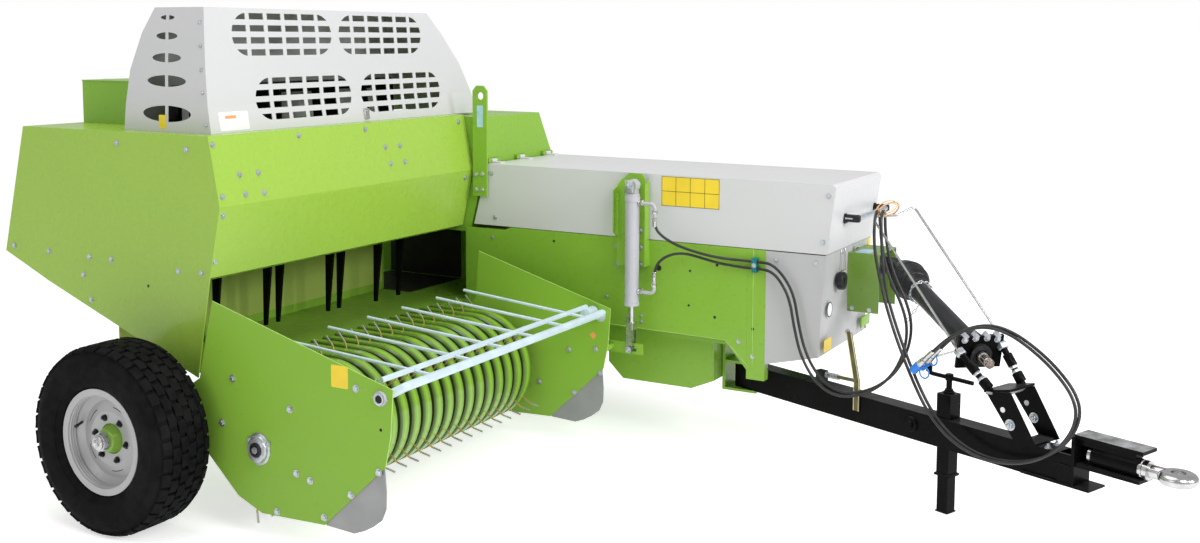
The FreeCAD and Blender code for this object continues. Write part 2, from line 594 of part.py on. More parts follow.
# levels of the slotted cover: height, rear x, front x, right y, left y
COVER_LEVELS = [
    ("feeder_top + clearance", -337, 170, -1668, 228), ("feeder_top + 110", -328, 150, -1664, 193),
    ("feeder_top + 255", -300, 138, -1660, 111), ("feeder_top + 410", -232, 128, -1652, -33),
    ("cover_top", -162, 118, -1642, -147),
]


def ring(level, inset):
    z, rear, front, right, left = (num(value) for value in level)
    corners = [(rear + inset, right + inset), (front - inset, right + inset),
               (front - inset, left - inset), (rear + inset, left - inset)]
    return Part.makePolygon([V(x, y, z) for x, y in corners + corners[:1]])


def stacked(levels, inset):
    return Part.makeLoft([ring(level, inset) for level in levels], True, True)


SLOT_GROUPS = [                        # y of the first slot, z of the lowest row
    (-1500, 1880), (-830, 1880), (-1390, 1605), (-700, 1605)]
SLOT_ROWS, SLOT_COLUMNS = 4, 6
SLOT_PITCH_Y, SLOT_PITCH_Z, SLOT_LENGTH, SLOT_HEIGHT = 107, 51, 84, 27
GROUP_WIDTH = (SLOT_COLUMNS - 1) * SLOT_PITCH_Y + SLOT_LENGTH
GROUP_HEIGHT = (SLOT_ROWS - 1) * SLOT_PITCH_Z + SLOT_HEIGHT
cover_inside = [("feeder_top - 1", *COVER_LEVELS[0][1:]), *COVER_LEVELS[1:-1], ("cover_top - 3", *COVER_LEVELS[-1][1:])]
cover_shell = stacked(COVER_LEVELS, 0).cut(stacked(cover_inside, 3))


def slot_group(y0, z0):
    """Rows of slots, trimmed to a field with round ends."""
    end = GROUP_HEIGHT / 2
    field = Part.makeBox(120, GROUP_WIDTH - 2 * end, GROUP_HEIGHT, V(70, y0 + end, z0))
    for y in (y0 + end, y0 + GROUP_WIDTH - end):
        field = field.fuse(Part.makeCylinder(end, 120, V(70, y, z0 + end), X_AXIS))
    rows = [Part.makeBox(120, SLOT_LENGTH, SLOT_HEIGHT, V(70, y0 + i * SLOT_PITCH_Y, z0 + j * SLOT_PITCH_Z))
            for i in range(SLOT_COLUMNS) for j in range(SLOT_ROWS)]
    return field.common(Part.makeCompound(rows))


def louvre(z, half_length, half_height):
    """An oval hole through the cover's end, with a web left standing in its middle."""
    oval = Part.Face(Part.Wire(Part.Ellipse(V(0, 0, 0), half_length, half_height).toShape()))
    hole = oval.extrude(V(0, 0, 80))
    hole.Placement = FreeCAD.Placement(V(LOUVRE_X, -1620, z), Rotation(X_AXIS, 90))
    return hole.cut(Part.makeBox(16, 100, 80, V(LOUVRE_X - 8, -1710, z - 40)))


LOUVRE_X = -85
LOUVRES = [                            # height, half length, half height of an oval in the end
    (1640, 140, 34), (1776, 112, 24), (1872, 84, 19), (1962, 62, 15), (2038, 40, 10)]
slots = [slot_group(*corner) for corner in SLOT_GROUPS] + [louvre(*row) for row in LOUVRES]
cover_sheet = doc.addObject("Part::Feature", "cover_sheet")
cover_sheet.Shape = cover_shell.cut(Part.makeCompound(slots))
parts = [cover_sheet]
for i, y in enumerate(COVER_KNUCKLES):
    parts.append(disc(f"cover_knuckle_{i}", 9, 40, (COVER_HINGE[0], y - 20, COVER_HINGE[1]), Y_AXIS))
    parts.append(box(f"cover_leaf_{i}", (17, 40, 8), (COVER_HINGE[0], y - 20, "feeder_top + 8")))
node("slotted_cover", cut("slotted_cover", fuse("slotted_cover_solid", parts), [
    disc("cover_hinge_bore", "4 + running_gap", 1500, (COVER_HINGE[0], -1600, COVER_HINGE[1]), Y_AXIS)]))

# ---------------------------------------------------------------- feeder forks

forks = [rod("fork_beam", 26, (-90, -1625, 1730), (-90, -195, 1730))]
for side, y in (("right", -1625), ("left", -215)):
    forks.append(box(f"fork_stand_{side}", (60, 20, "1730 - feeder_top - clearance"),
                     (-120, y, "feeder_top + clearance")))
FORKS = [                                   # middle y of a fork, how far its tip hangs forward
    (-1500, 0), (-1420, 0), (-1110, 0), (-1030, 0), (-730, 40), (-650, 40), (-430, 90), (-250, 90)]
for i, (y, forward) in enumerate(FORKS):
    forks.append(plate(f"fork_{i}", "XZ_Plane", [
        (-130, 1740), (-50, 1740), (forward - 40, 1000), (forward - 82, 640), (forward - 98, 640),
        (forward - 95, 1000)], 14, at=(0, y + 7, 0)))
node("feeder_forks", fuse("feeder_forks", forks))

# ---------------------------------------------------------------- twine box, lifting lug

TWINE_LID_Z = "feeder_top + 190 + 2 * clearance"
LID_HINGE = ("feeder_rear - 9", "feeder_top + 187")
LID_KNUCKLES = (-1300, -240)
lugs, leaves = [], []
for i, y in enumerate(LID_KNUCKLES):
    lugs.append(disc(f"lid_pin_{i}", 3, 76, (LID_HINGE[0], y - 38, LID_HINGE[1]), Y_AXIS))
    for end, offset in (("a", -38), ("b", 22)):
        lugs.append(box(f"lid_lug_{i}_{end}", (17, 16, 10), ("feeder_rear - 16", y + offset, "feeder_top + 180")))
    leaves.append(disc(f"lid_knuckle_{i}", 7, 40, (LID_HINGE[0], y - 20, LID_HINGE[1]), Y_AXIS))
    leaves.append(box(f"lid_leaf_{i}", (9, 40, 7), ("feeder_rear - 9", y - 20, "feeder_top + 188")))
node("twine_box", fuse("twine_box", lugs + [cut("twine_tray", box(
    "twine_outer", (410, 1340, 190), ("feeder_rear", -1440, "feeder_top + clearance")), [
    box("twine_inner", (402, 1332, 200), ("feeder_rear + 4", -1436, "feeder_top + 4.3")),
    box("twine_hinge_gap_0", (10, 44, 20), ("feeder_rear - 5", LID_KNUCKLES[0] - 22, "feeder_top + 178")),
    box("twine_hinge_gap_1", (10, 44, 20), ("feeder_rear - 5", LID_KNUCKLES[1] - 22, "feeder_top + 178"))])]))
node("twine_lid", cut("twine_lid", fuse("twine_lid_solid", leaves + [
    box("twine_lid_sheet", (414, 1346, 4), ("feeder_rear - 2", -1443, TWINE_LID_Z)),
    box("twine_lid_lip", (4, 1346, 22), ("feeder_rear + 412", -1443, f"{TWINE_LID_Z} - 18")),
]), [disc("lid_hinge_bore", "3 + running_gap", 1200, (LID_HINGE[0], -1360, LID_HINGE[1]), Y_AXIS)]))

node("lifting_lug", fuse("lifting_lug", [
    box("lug_spacer", (45, "17 - clearance", 200), (315, -11, 1345)),
    plate("lug_plate", "XZ_Plane", [
        (312, 1152), (398, 1152), (398, 1690), (376, 1716), (334, 1716), (312, 1690),
    ], 12, at=(0, -11, 0), circles=[(358, 1664, 20)]),
]))

# ---------------------------------------------------------------- rear: needles, bale rails

needle_pieces = [rod("needle_bar", 20, (-620, -8, 345), (-620, f"{CHAMBER_OUTER} + 8", 345))]
for side, y in (("right", -12.3), ("left", f"{CHAMBER_OUTER} + clearance")):
    needle_pieces.append(box(f"needle_arm_{side}", (44, 12, 400), (-642, y, 325)))
for side, y in KNOTTERS:
    needle_pieces.append(pipe(f"needle_{side}", [
        (-620, y, 345), (-500, y, 352), (-405, y, 430), (-380, y, 560)], 11, 60))
node("needle_yoke", fuse("needle_yoke", needle_pieces))

RAIL_TOP = f"{CHAMBER_TOP} + clearance"
rails = [box(f"bale_rail_{i}", (670, 50, 50), (-1290, y, f"{CHAMBER_TOP} - 20")) for i, y in enumerate((70, 345))]
rails += [box(f"rail_cross_{i}", (40, CHAMBER_OUTER, 40), (x, 0, RAIL_TOP)) for i, x in enumerate((-1260, -900))]
screws = [fuse("bale_rails", rails)]
for i, y in enumerate((95, 370)):
    screws.append(fuse(f"tension_screw_{i}", [
        disc(f"screw_{i}", 10, 110, (-1240, y, f"{RAIL_TOP} + 40 + clearance"), Z_AXIS),
        disc(f"screw_nut_{i}", 20, 18, (-1240, y, f"{RAIL_TOP} + 40 + clearance"), Z_AXIS),
        rod(f"screw_bar_{i}", 8, (-1240, y - 70, f"{RAIL_TOP} + 142"), (-1240, y + 70, f"{RAIL_TOP} + 142"))]))
node("tension_rails", group("tension_rails", screws))

# ---------------------------------------------------------------- pickup

PIVOT_HOLE = ("pickup_pivot_x", "pickup_pivot_z", "pickup_pivot_radius + running_gap")
SHAFT_HOLE = ("reel_x", "reel_z", "reel_shaft_radius + running_gap")
GUARD_HOLE = ("guard_x", "guard_z", "guard_tube + running_gap")
PLATE_FRONT = [(1221, 690), (1208, 513), (1183, 396), (889, 123), (572, 110), (448, 159), (186, 398)]
PLATE_REAR = {
    "right": [(186, 440), (111, 507), (111, 557), (200, 572), (252, 606), (330, 925)],
    "left": [(186, 440), (111, 507), (111, 557), (175, 560), (200, 540), (262, 540), (262, 612), (430, 640),
             (453, 668), (472, 902)],
}
PIVOT_SPAN = ("pickup_right - 14", "pickup_left + 40")
INSIDE_RIGHT, INSIDE_LEFT = "pickup_right + panel_metal", "pickup_left - panel_metal"

pivot_pieces = [rod("pivot_tube", "pickup_pivot_radius", ("pickup_pivot_x", PIVOT_SPAN[0], "pickup_pivot_z"),
                    ("pickup_pivot_x", PIVOT_SPAN[1], "pickup_pivot_z"))]
pivot_bore = rod("pivot_tube_bore", "pickup_pivot_radius - 7", ("pickup_pivot_x", "pickup_right - 60", "pickup_pivot_z"),
                 ("pickup_pivot_x", "pickup_right + 50", "pickup_pivot_z"))
for i, y in enumerate((-1700, -1010, -300)):
    pivot_pieces.append(plate(f"pivot_bracket_{i}", "XZ_Plane", [
        (-40, "tyre_radius + axle_tube / 2 + clearance"), (60, "tyre_radius + axle_tube / 2 + clearance"),
        ("pickup_pivot_x + 27", "pickup_pivot_z - 15"), ("pickup_pivot_x + 27", "pickup_pivot_z + 20"),
        ("pickup_pivot_x - 20", "pickup_pivot_z + 25"), (60, 500), (-40, 470)], 12, at=(0, y, 0)))
node("pickup_pivot_tube", cut("pickup_pivot_tube", fuse("pivot_tube_solid", pivot_pieces), [pivot_bore]))

plates = []
for side, inner in (("right", "pickup_right"), ("left", "pickup_left")):
    far = f"{inner} + panel_metal" if side == "right" else inner
    pieces = [plate(f"pickup_side_{side}", "XZ_Plane", PLATE_FRONT + PLATE_REAR[side], "panel_metal",
                    at=(0, far, 0), circles=[PIVOT_HOLE, SHAFT_HOLE, GUARD_HOLE])]
    bosses = [("pivot", PIVOT_HOLE, 44, 12), ("reel", SHAFT_HOLE, 46, 20), ("guard", GUARD_HOLE, 27, 10)]
    for boss, (x, z, bore), radius, length in bosses:
        start = f"pickup_right - {length}" if side == "right" else inner
        pieces.append(collar(f"{boss}_boss_{side}", radius, bore, length, (x, start, z), Y_AXIS))
    plates.append(fuse(f"pickup_plate_{side}", pieces))

SKID_OUTLINE = [(1175, 396), (1182, 300), (1180, 236), (1160, 190), (1118, 157), (1075, 133), (1028, 115),
                (895, 121), (880, 136), (1165, 402)]
SKIDS = (("right", "pickup_right + panel_metal + clearance + 4"), ("left", "pickup_left + clearance + 4"))
node("skids", group("skids", [
    plate(f"skid_{side}", "XZ_Plane", SKID_OUTLINE, 4, at=(0, y, 0)) for side, y in SKIDS]))

INNER_SPAN = f"({INSIDE_LEFT}) - ({INSIDE_RIGHT}) - 2 * clearance"
INNER_START = f"{INSIDE_RIGHT} + clearance"
BAND_UNDER = "reel_z + band_radius - 25"
node("pickup_frame", group("pickup_frame", [
    box("band_beam", (20, INNER_SPAN, 20), (264, INNER_START, f"{BAND_UNDER} - clearance - 20")),
    rod("rear_tube", 14, (203, INNER_START, 440), (203, f"{INSIDE_LEFT} - clearance", 440)),
    plate("back_sheet", "XZ_Plane", [(264, "reel_z + 216.4"), (267, "reel_z + 216.4"), (218, 451), (213, 450)],
          INNER_SPAN, at=(0, f"{INSIDE_LEFT} - clearance", 0)),
]))


# Stripper bands: channels bent round the front of the reel, with a slot for the tines between each pair.
BANDS = 19
BAND_WIDTH = "tine_pitch - band_gap"
FIRST_SLOT = -1770


def sector(name, kind, y, width, turn=186, **radii):
    """A slice of a disc or a cone from straight up, over the front, through an angle."""
    obj = doc.addObject(kind, name)
    bind(obj, Height=width, **radii)
    obj.Angle = turn
    # the slice starts at the local +X, so that is turned to straight up and swept towards the front
    obj.Placement = FreeCAD.Placement(vec("reel_x", y, "reel_z"), Rotation(V(0, 0, 1), V(1, 0, 0), V(0, 1, 0), "ZXY"))
    return obj


def strip(name, radius, width, y, edge):
    """The outside of a band of some width: the slice and the straight run over the crop's path, its edges bevelled."""
    return fuse(name, [
        sector(name + "_round", "Part::Cylinder", f"{y} + {edge}", f"{width} - 2 * {edge}", Radius=radius),
        sector(name + "_edge", "Part::Cone", y, edge, Radius1=f"{radius} - {edge}", Radius2=radius),
        sector(name + "_far_edge", "Part::Cone", f"{y} + {width} - {edge}", edge, Radius1=radius,
               Radius2=f"{radius} - {edge}"),
        plate(name + "_flat", "YZ_Plane", [
            (0, -60), (width, -60), (width, f"-({edge})"), (f"{width} - {edge}", 0), (edge, 0), (0, f"-({edge})")],
            "reel_x - 262", at=(262, y, f"reel_z + {radius}")),
    ])


band_core = disc("band_core", "band_radius - 25", 1700, ("reel_x", -1860, "reel_z"), Y_AXIS)
band_core_flat = box("band_core_flat", (400, 1700, 400), (200, -1860, f"{BAND_UNDER} - 400"))
bands, hollows = [], [band_core, band_core_flat]
for i in range(BANDS):
    start = f"({FIRST_SLOT} + {i} * tine_pitch + band_gap / 2)"
    bands.append(strip(f"band_{i}", "band_radius", f"({BAND_WIDTH})", start, "band_edge"))
    hollows.append(strip(f"band_hollow_{i}", "(band_radius - 3)", f"({BAND_WIDTH} - 6)", f"({start} + 3)",
                         "(band_edge - 1)"))
node("stripper_bands", cut("stripper_bands", group("band_outsides", bands), hollows))

# lift lever on the left plate
LEVER_Y = "lift_y - 5"
plates.append(fuse("lift_lever", [
    cut("lever_bar", box("lever_blank", (250, 10, 52), (1100, LEVER_Y, "lift_pin_z - 26")), [
        box("lever_slot", (26, 40, 26), (1284, "lift_y - 20", "lift_pin_z - 13")),
        disc("lever_slot_rear", 13, 40, (1284, "lift_y - 20", "lift_pin_z"), Y_AXIS),
        disc("lever_slot_front", 13, 40, (1310, "lift_y - 20", "lift_pin_z"), Y_AXIS)]),
    rod("lever_stay_front", 14, (1185, "pickup_left + clearance", "lift_pin_z"), (1185, LEVER_Y, "lift_pin_z")),
    rod("lever_stay_rear", 14, (1120, "pickup_left + clearance", "lift_pin_z"), (1120, LEVER_Y, "lift_pin_z")),
]))
node("pickup_plates", group("pickup_plates", plates))

# ---------------------------------------------------------------- reel

TINE_BARS = 5
FIRST_ANGLE = -35
BAR_SIDE = 24


def about_reel(obj, angle):
    """Turns an object drawn at the front of the reel, on its shaft's height, about the shaft."""
    turn = Rotation(Y_AXIS, -angle)
    centre = vec("reel_x", 0, "reel_z")
    obj.Placement = FreeCAD.Placement(V(), turn, centre).multiply(obj.Placement)
    return obj


reel_pieces = [rod("reel_shaft", "reel_shaft_radius", ("reel_x", "pickup_right - 24", "reel_z"),
                   ("reel_x", "pickup_left + 24", "reel_z"))]
for i, y in enumerate((-1812, -1320, -720, -232)):
    reel_pieces.append(disc(f"reel_disc_{i}", "tine_bar_circle - 8", 6, ("reel_x", y, "reel_z"), Y_AXIS))
for i in range(TINE_BARS):
    reel_pieces.append(about_reel(box(f"tine_bar_{i}", (BAR_SIDE, "1812 - 226", BAR_SIDE), (
        f"reel_x + tine_bar_circle - {BAR_SIDE / 2}", -1812, f"reel_z - {BAR_SIDE / 2}")), FIRST_ANGLE + 72 * i))
node("reel", fuse("reel", reel_pieces))

tines = []
ROOT = f"reel_x + tine_bar_circle + {BAR_SIDE / 2} + clearance"
for i in range(TINE_BARS):
    for j in range(BANDS + 1):
        tine = plate(f"tine_{i}_{j}", "XZ_Plane", [
            (ROOT, "reel_z - 11"), (f"{ROOT} + 8", "reel_z - 11"), (f"{ROOT} + 14", "reel_z - tine_wire / 2"),
            ("reel_x + tine_circle - 49", "reel_z - tine_wire / 2"), ("reel_x + tine_circle - 3", "reel_z + 17"),
            ("reel_x + tine_circle - 6", "reel_z + 23"), ("reel_x + tine_circle - 51", "reel_z + tine_wire / 2"),
            (f"{ROOT} + 14", "reel_z + tine_wire / 2"), (f"{ROOT} + 8", "reel_z + 11"), (ROOT, "reel_z + 11"),
        ], "tine_wire", at=(0, f"{FIRST_SLOT} + {j} * tine_pitch + tine_wire / 2", 0))
        tines.append(about_reel(tine, FIRST_ANGLE + 72 * i))
node("tines", group("tines", tines))

# ---------------------------------------------------------------- windguard

TUBE = ("guard_x + 54", "guard_z + 33")
guard = [pipe("guard_main", [
    ("guard_x", "pickup_right - 12", "guard_z"), ("guard_x", "pickup_right + 30", "guard_z"),
    (TUBE[0], "pickup_right + 78", TUBE[1]), (TUBE[0], "pickup_left - 78", TUBE[1]),
    ("guard_x", "pickup_left - 30", "guard_z"), ("guard_x", "pickup_left + 12", "guard_z")], "guard_tube", 20)]
guard.append(rod("guard_bar", 11, ("guard_x - 46", "pickup_right + 60", "guard_z + 48"),
                 ("guard_x - 46", "pickup_left - 60", "guard_z + 48")))
GUARD_RODS = [                        # y of a rod, x and z of its rear end
    (-1587, 450, 734), (-1322, 470, 735), (-1088, 490, 736), (-858, 500, 738), (-617, 515, 742), (-417, 530, 747)]
for i, (y, x, z) in enumerate(GUARD_RODS):
    guard.append(rod(f"guard_rod_{i}", 7, (x, y, z), (TUBE[0], y, f"{TUBE[1]} + 2")))
node("windguard", fuse("windguard", guard))

# ---------------------------------------------------------------- lift cylinder

BRACKET_Y = "lift_y + 62"


def bracket_flange(name, x):
    return plate(name, "YZ_Plane", [
        (BRACKET_Y, 876), ("-panel_metal - 2 * clearance", 876), ("-panel_metal - 2 * clearance", "panel_top - 4"),
        (-14, "panel_top - 4"), (-14, 1290), (BRACKET_Y, 1262)], 6, at=(x, 0, 0))


node("cylinder_bracket", fuse("cylinder_bracket", [
    plate("bracket_web", "XZ_Plane", [
        (1175, 876), (1324, 876), (1324, 1300), (1308, 1322), (1238, 1322), (1175, 1262)],
        6, at=(0, f"{BRACKET_Y} + 6", 0)),
    bracket_flange("bracket_flange_rear", 1175), bracket_flange("bracket_flange_front", 1318),
    plate("bracket_wing", "YZ_Plane", [
        (BRACKET_Y, 1008), (BRACKET_Y, 1262), (f"{BRACKET_Y} - 45", 1240), (f"{BRACKET_Y} - 45", 1040)],
        6, at=(1175, 0, 0)),
    disc("lift_top_pin", 12, 90, ("lift_x", "lift_y - 28", "lift_top"), Y_AXIS),
    disc("lift_top_washer", 22, 5, ("lift_x", "lift_y - 30", "lift_top"), Y_AXIS),
]))
PORTS = [("upper", 1190, 1124, -1), ("lower", 769, 831, 1)]       # elbow height, crimp end, way the hose leaves
barrel = [
    cut("barrel_tube", rod("barrel_outer", "barrel_radius", ("lift_x", "lift_y", 700), ("lift_x", "lift_y", 1234)), [
        rod("barrel_bore", "barrel_radius - 6", ("lift_x", "lift_y", 714), ("lift_x", "lift_y", 1216)),
        rod("barrel_gland", "rod_radius + running_gap", ("lift_x", "lift_y", 690), ("lift_x", "lift_y", 720))]),
    cut("barrel_eye", fuse("barrel_eye_solid", [
        disc("barrel_eye_round", 30, 44, ("lift_x", "lift_y - 22", "lift_top"), Y_AXIS),
        box("barrel_neck", (44, 44, 40), ("lift_x - 22", "lift_y - 22", "lift_top - 42"))]), [
        disc("barrel_eye_bore", "12 + running_gap", 80, ("lift_x", "lift_y - 40", "lift_top"), Y_AXIS)]),
]
for side, height, end, way in PORTS:
    barrel.append(pipe(f"port_{side}", [("lift_x + 30", "lift_y", height), ("lift_x + 118", "lift_y", height),
                                        ("lift_x + 118", "lift_y", end)], 9, 22))
node("lift_barrel", fuse("lift_barrel", barrel))

ROD_EYE_Z = 619
links = [disc("rod_bar", "rod_radius", 350, ("lift_x", "lift_y", ROD_EYE_Z - 10), Z_AXIS),
         disc("piston", "barrel_radius - 6 - running_gap", 24, ("lift_x", "lift_y", ROD_EYE_Z + 340), Z_AXIS),
         box("rod_eye", (36, 44, 36), ("lift_x - 18", "lift_y - 22", ROD_EYE_Z - 36)),
         disc("lift_lower_pin", 10, 64, ("lift_x", "lift_y - 32", "lift_pin_z"), Y_AXIS)]
for side, y in (("right", "lift_y - 26"), ("left", "lift_y + 18")):
    links.append(box(f"lift_link_{side}", (30, 8, "619 - lift_pin_z + 16"), ("lift_x - 15", y, "lift_pin_z - 18")))
node("lift_rod", fuse("lift_rod", links))

# ---------------------------------------------------------------- drawbar


def on_bar(reach, cross, z):
    """A point measured along the drawbar from its rear end, across it to the left, and up."""
    return (f"drawbar_x + ({reach}) * cos(drawbar_angle) - ({cross}) * sin(drawbar_angle)",
            f"drawbar_y + ({reach}) * sin(drawbar_angle) + ({cross}) * cos(drawbar_angle)", z)


def bar_box(name, size, reach, cross, z):
    """A block in the drawbar's direction, from its lowest corner."""
    return box(name, size, on_bar(reach, cross, z), Z_AXIS, "drawbar_angle")


def bar_plate(name, outline, thickness, cross, circles=()):
    """A plate in the drawbar's upright plane, its outline in reach and height; it grows to the right."""
    return plate(name, "XZ_Plane", outline, thickness, on_bar(0, cross, 0), circles, Z_AXIS, "drawbar_angle")


BAR_TOP = "drawbar_bottom + drawbar_height"
HALF = "drawbar_width / 2"
node("drawbar", cut("drawbar", bar_box(
    "drawbar_outer", ("drawbar_length", "drawbar_width", "drawbar_height"), 0, f"-{HALF}", "drawbar_bottom"), [
    bar_box("drawbar_inner", ("drawbar_length + 20", "drawbar_width - 12", "drawbar_height - 12"),
            -10, f"-{HALF} + 6", "drawbar_bottom + 6"),
    disc("drawbar_pivot_bore", "20 + running_gap", 200, on_bar(60, 0, "drawbar_bottom - 30"), Z_AXIS),
    bar_box("drawbar_jack_hole", ("jack_tube + 2 * clearance", "jack_tube + 2 * clearance", 200),
            "jack_reach - jack_tube / 2 - clearance", "-jack_tube / 2 - clearance", "drawbar_bottom - 30"),
]))
node("drawbar_latch", fuse("drawbar_latch", [
    bar_box("latch_block", (44, 34, 70), 535, "-60", f"{BAR_TOP} + clearance"),
    rod("latch_rod", 8, on_bar(560, -50, 458), on_bar(770, -50, 468)),
    bar_plate("latch_lever", [(700, 678), (728, 674), (779, 468), (779, 334), (751, 334), (751, 462)],
              8, f"-{HALF} - clearance"),
]))

JACK_BOTTOM, JACK_TOP = 158, 505
jack = [fuse("jack_case", [
    cut("jack_outer", bar_box("jack_outer_solid", ("jack_tube", "jack_tube", JACK_TOP - JACK_BOTTOM),
                              "jack_reach - jack_tube / 2", "-jack_tube / 2", JACK_BOTTOM), [
        bar_box("jack_inner", ("jack_tube - 2 * jack_wall", "jack_tube - 2 * jack_wall", JACK_TOP - JACK_BOTTOM - 4),
                "jack_reach - jack_tube / 2 + jack_wall", "-jack_tube / 2 + jack_wall", JACK_BOTTOM - 10)]),
    cut("jack_flange", bar_box("jack_flange_solid", ("jack_tube + 12", "jack_tube + 12", 6),
                               "jack_reach - jack_tube / 2 - 6", "-jack_tube / 2 - 6", JACK_BOTTOM), [
        bar_box("jack_flange_hole", ("jack_tube - 4", "jack_tube - 4", 20),
                "jack_reach - jack_tube / 2 + 2", "-jack_tube / 2 + 2", JACK_BOTTOM - 5)]),
    cut("jack_block", bar_box("jack_block_solid",
                              ("jack_tube + 8", "jack_tube + 8", f"{JACK_TOP} - ({BAR_TOP}) - clearance"),
                              "jack_reach - jack_tube / 2 - 4", "-jack_tube / 2 - 4", f"{BAR_TOP} + clearance"), [
        bar_box("jack_block_hole", ("jack_tube - 4", "jack_tube - 4", f"{JACK_TOP - 4} - ({BAR_TOP})"),
                "jack_reach - jack_tube / 2 + 2", "-jack_tube / 2 + 2", f"{BAR_TOP} - 10")]),
]), fuse("jack_crank", [
    disc("crank_stem", 12, 66, on_bar("jack_reach", 0, f"{JACK_TOP} + clearance"), Z_AXIS),
    pipe("crank_bar", [on_bar("jack_reach - 112", 0, 612), on_bar("jack_reach - 100", 0, 570),
                       on_bar("jack_reach + 115", 0, 570)], 9, 20),
])]
node("jack_tube", group("jack_tube", jack))
LEG = "(jack_tube - 2 * jack_wall - 2 * jack_gap)"
node("jack_leg", cut("jack_leg", bar_box(
    "jack_leg_solid", (LEG, LEG, 345), f"jack_reach - {LEG} / 2", f"-{LEG} / 2", 0), [
    bar_box("jack_leg_hollow", (f"{LEG} - 8", f"{LEG} - 8", 400),
            f"jack_reach - {LEG} / 2 + 4", f"-{LEG} / 2 + 4", 6)]))

# ---------------------------------------------------------------- hitch

BAR_END = "drawbar_length + clearance"
ALONG_BAR = Rotation(Z_AXIS, num("drawbar_angle")).multVec(X_AXIS)
CLAMP = f"{BAR_END} + 212"              # rear face of the clamp, past the drawbar's front end
node("hitch_head", fuse("hitch_head", [
    bar_box("head_floor", (290, "drawbar_width + 28", 8), BAR_END, f"-{HALF} - 14", "drawbar_bottom + 3"),
    bar_box("head_roof", (150, "drawbar_width", 8), BAR_END, f"-{HALF}", f"{BAR_TOP} - 8"),
    bar_box("head_cheek_right", (212, 10, "drawbar_height - 3"), BAR_END, f"-{HALF}", "drawbar_bottom + 3"),
    bar_box("head_cheek_left", (212, 10, "drawbar_height - 3"), BAR_END, f"{HALF} - 10", "drawbar_bottom + 3"),
    bar_box("clamp_end_plate", (14, 110, 198), CLAMP, -55, "drawbar_bottom + 3"),
    bar_box("clamp_rib_right", (60, 8, 70), f"{CLAMP} - 60", -51, "drawbar_bottom + 10"),
    bar_box("clamp_top", (274, 96, 13), f"{CLAMP} + 6", -48, "eye_z + 62"),
    bar_box("clamp_web", (236, 50, 30), f"{CLAMP} + 6", -25, "eye_z + 34"),
    bar_box("clamp_bottom", (262, 96, 12), f"{CLAMP} + 6", -48, "eye_z - 48"),
    bar_box("clamp_cheek", (120, 12, 90), f"{CLAMP} + 6", 36, "eye_z - 40"),
    collar("clamp_sleeve", 37, "25 + running_gap", 180, on_bar(f"{CLAMP} + 68", 0, "eye_z"), ALONG_BAR),
]))
EYE = "drawbar_length + eye_reach"
eye_round = doc.addObject("Part::Torus", "eye_round")
eye_round.Radius1, eye_round.Radius2 = 48, 22
eye_round.Placement = FreeCAD.Placement(vec(*on_bar(EYE, 0, "eye_z")), Rotation())
node("hitch_eye", cut("hitch_eye", fuse("hitch_eye_solid", [
    disc("eye_shank", 25, f"{EYE} - 50 - ({CLAMP} + 62)", on_bar(f"{CLAMP} + 62", 0, "eye_z"), ALONG_BAR),
    disc("eye_collar", 36, 18, on_bar(f"{CLAMP} + 266", 0, "eye_z"), ALONG_BAR),
    disc("eye_shank_nut", 32, 12, on_bar(f"{CLAMP} + 50", 0, "eye_z"), ALONG_BAR),
    eye_round, disc("eye_ring", 48, 44, on_bar(EYE, 0, "eye_z - 22"), Z_AXIS),
]), [disc("eye_hole", "eye_radius", 80, on_bar(EYE, 0, "eye_z - 40"), Z_AXIS)]))

# ---------------------------------------------------------------- power take-off line

YOKE = ("gearbox_x + 58", "gearbox_y", "gearbox_z")
BEARING = on_bar("bearing_reach", 2.6, "bearing_z")
shaft = (vec(*BEARING) - vec(*YOKE))
SHAFT_LENGTH = shaft.Length
SHAFT = shaft.normalize()


def on_shaft(distance):
    """A point on the drive shaft's line, measured from the joint at the gearbox."""
    point = vec(*YOKE) + SHAFT * distance
    return (point.x, point.y, point.z)


bell = revolved("guard_bell", "XZ_Plane", [
    (0, 30), (32, 30), (52, 60), (72, 95), (83, 135), (85, 175), (77, 212), (59, 245), (49, 266), (47, 292),
    ("shaft_guard", 296),
    ("shaft_guard", SHAFT_LENGTH - 120), (56, SHAFT_LENGTH - 110), (60, SHAFT_LENGTH - 62),
    (54, SHAFT_LENGTH - 62), ("shaft_guard - 4", SHAFT_LENGTH - 106), ("shaft_guard - 4", 300), (0, 300),
], axis="V_Axis")
bell.Placement = FreeCAD.Placement(vec(*YOKE), turned(SHAFT))
ball = doc.addObject("Part::Sphere", "guard_yoke")
ball.Radius = 40
ball.Placement = FreeCAD.Placement(vec(*YOKE), Rotation())
node("drive_shaft_guard", fuse("drive_shaft_guard", [
    bell, ball,
    disc("gearbox_yoke", 42, "58 - clearance", ("gearbox_x + clearance", "gearbox_y", "gearbox_z"), X_AXIS),
    disc("inner_shaft", 18, SHAFT_LENGTH - 290 - 50, on_shaft(290), SHAFT),
]))
node("input_stub", fuse("input_stub", [
    disc("stub_inner", 22, 90, on_shaft(SHAFT_LENGTH - 50 + num("clearance")), SHAFT),
    disc("stub_spline_end", "stub_spline", 66, on_shaft(SHAFT_LENGTH + 39), SHAFT),
]))
bearing = collar("pto_bearing", 46, "22 + running_gap", 44, on_shaft(SHAFT_LENGTH - 22), SHAFT)

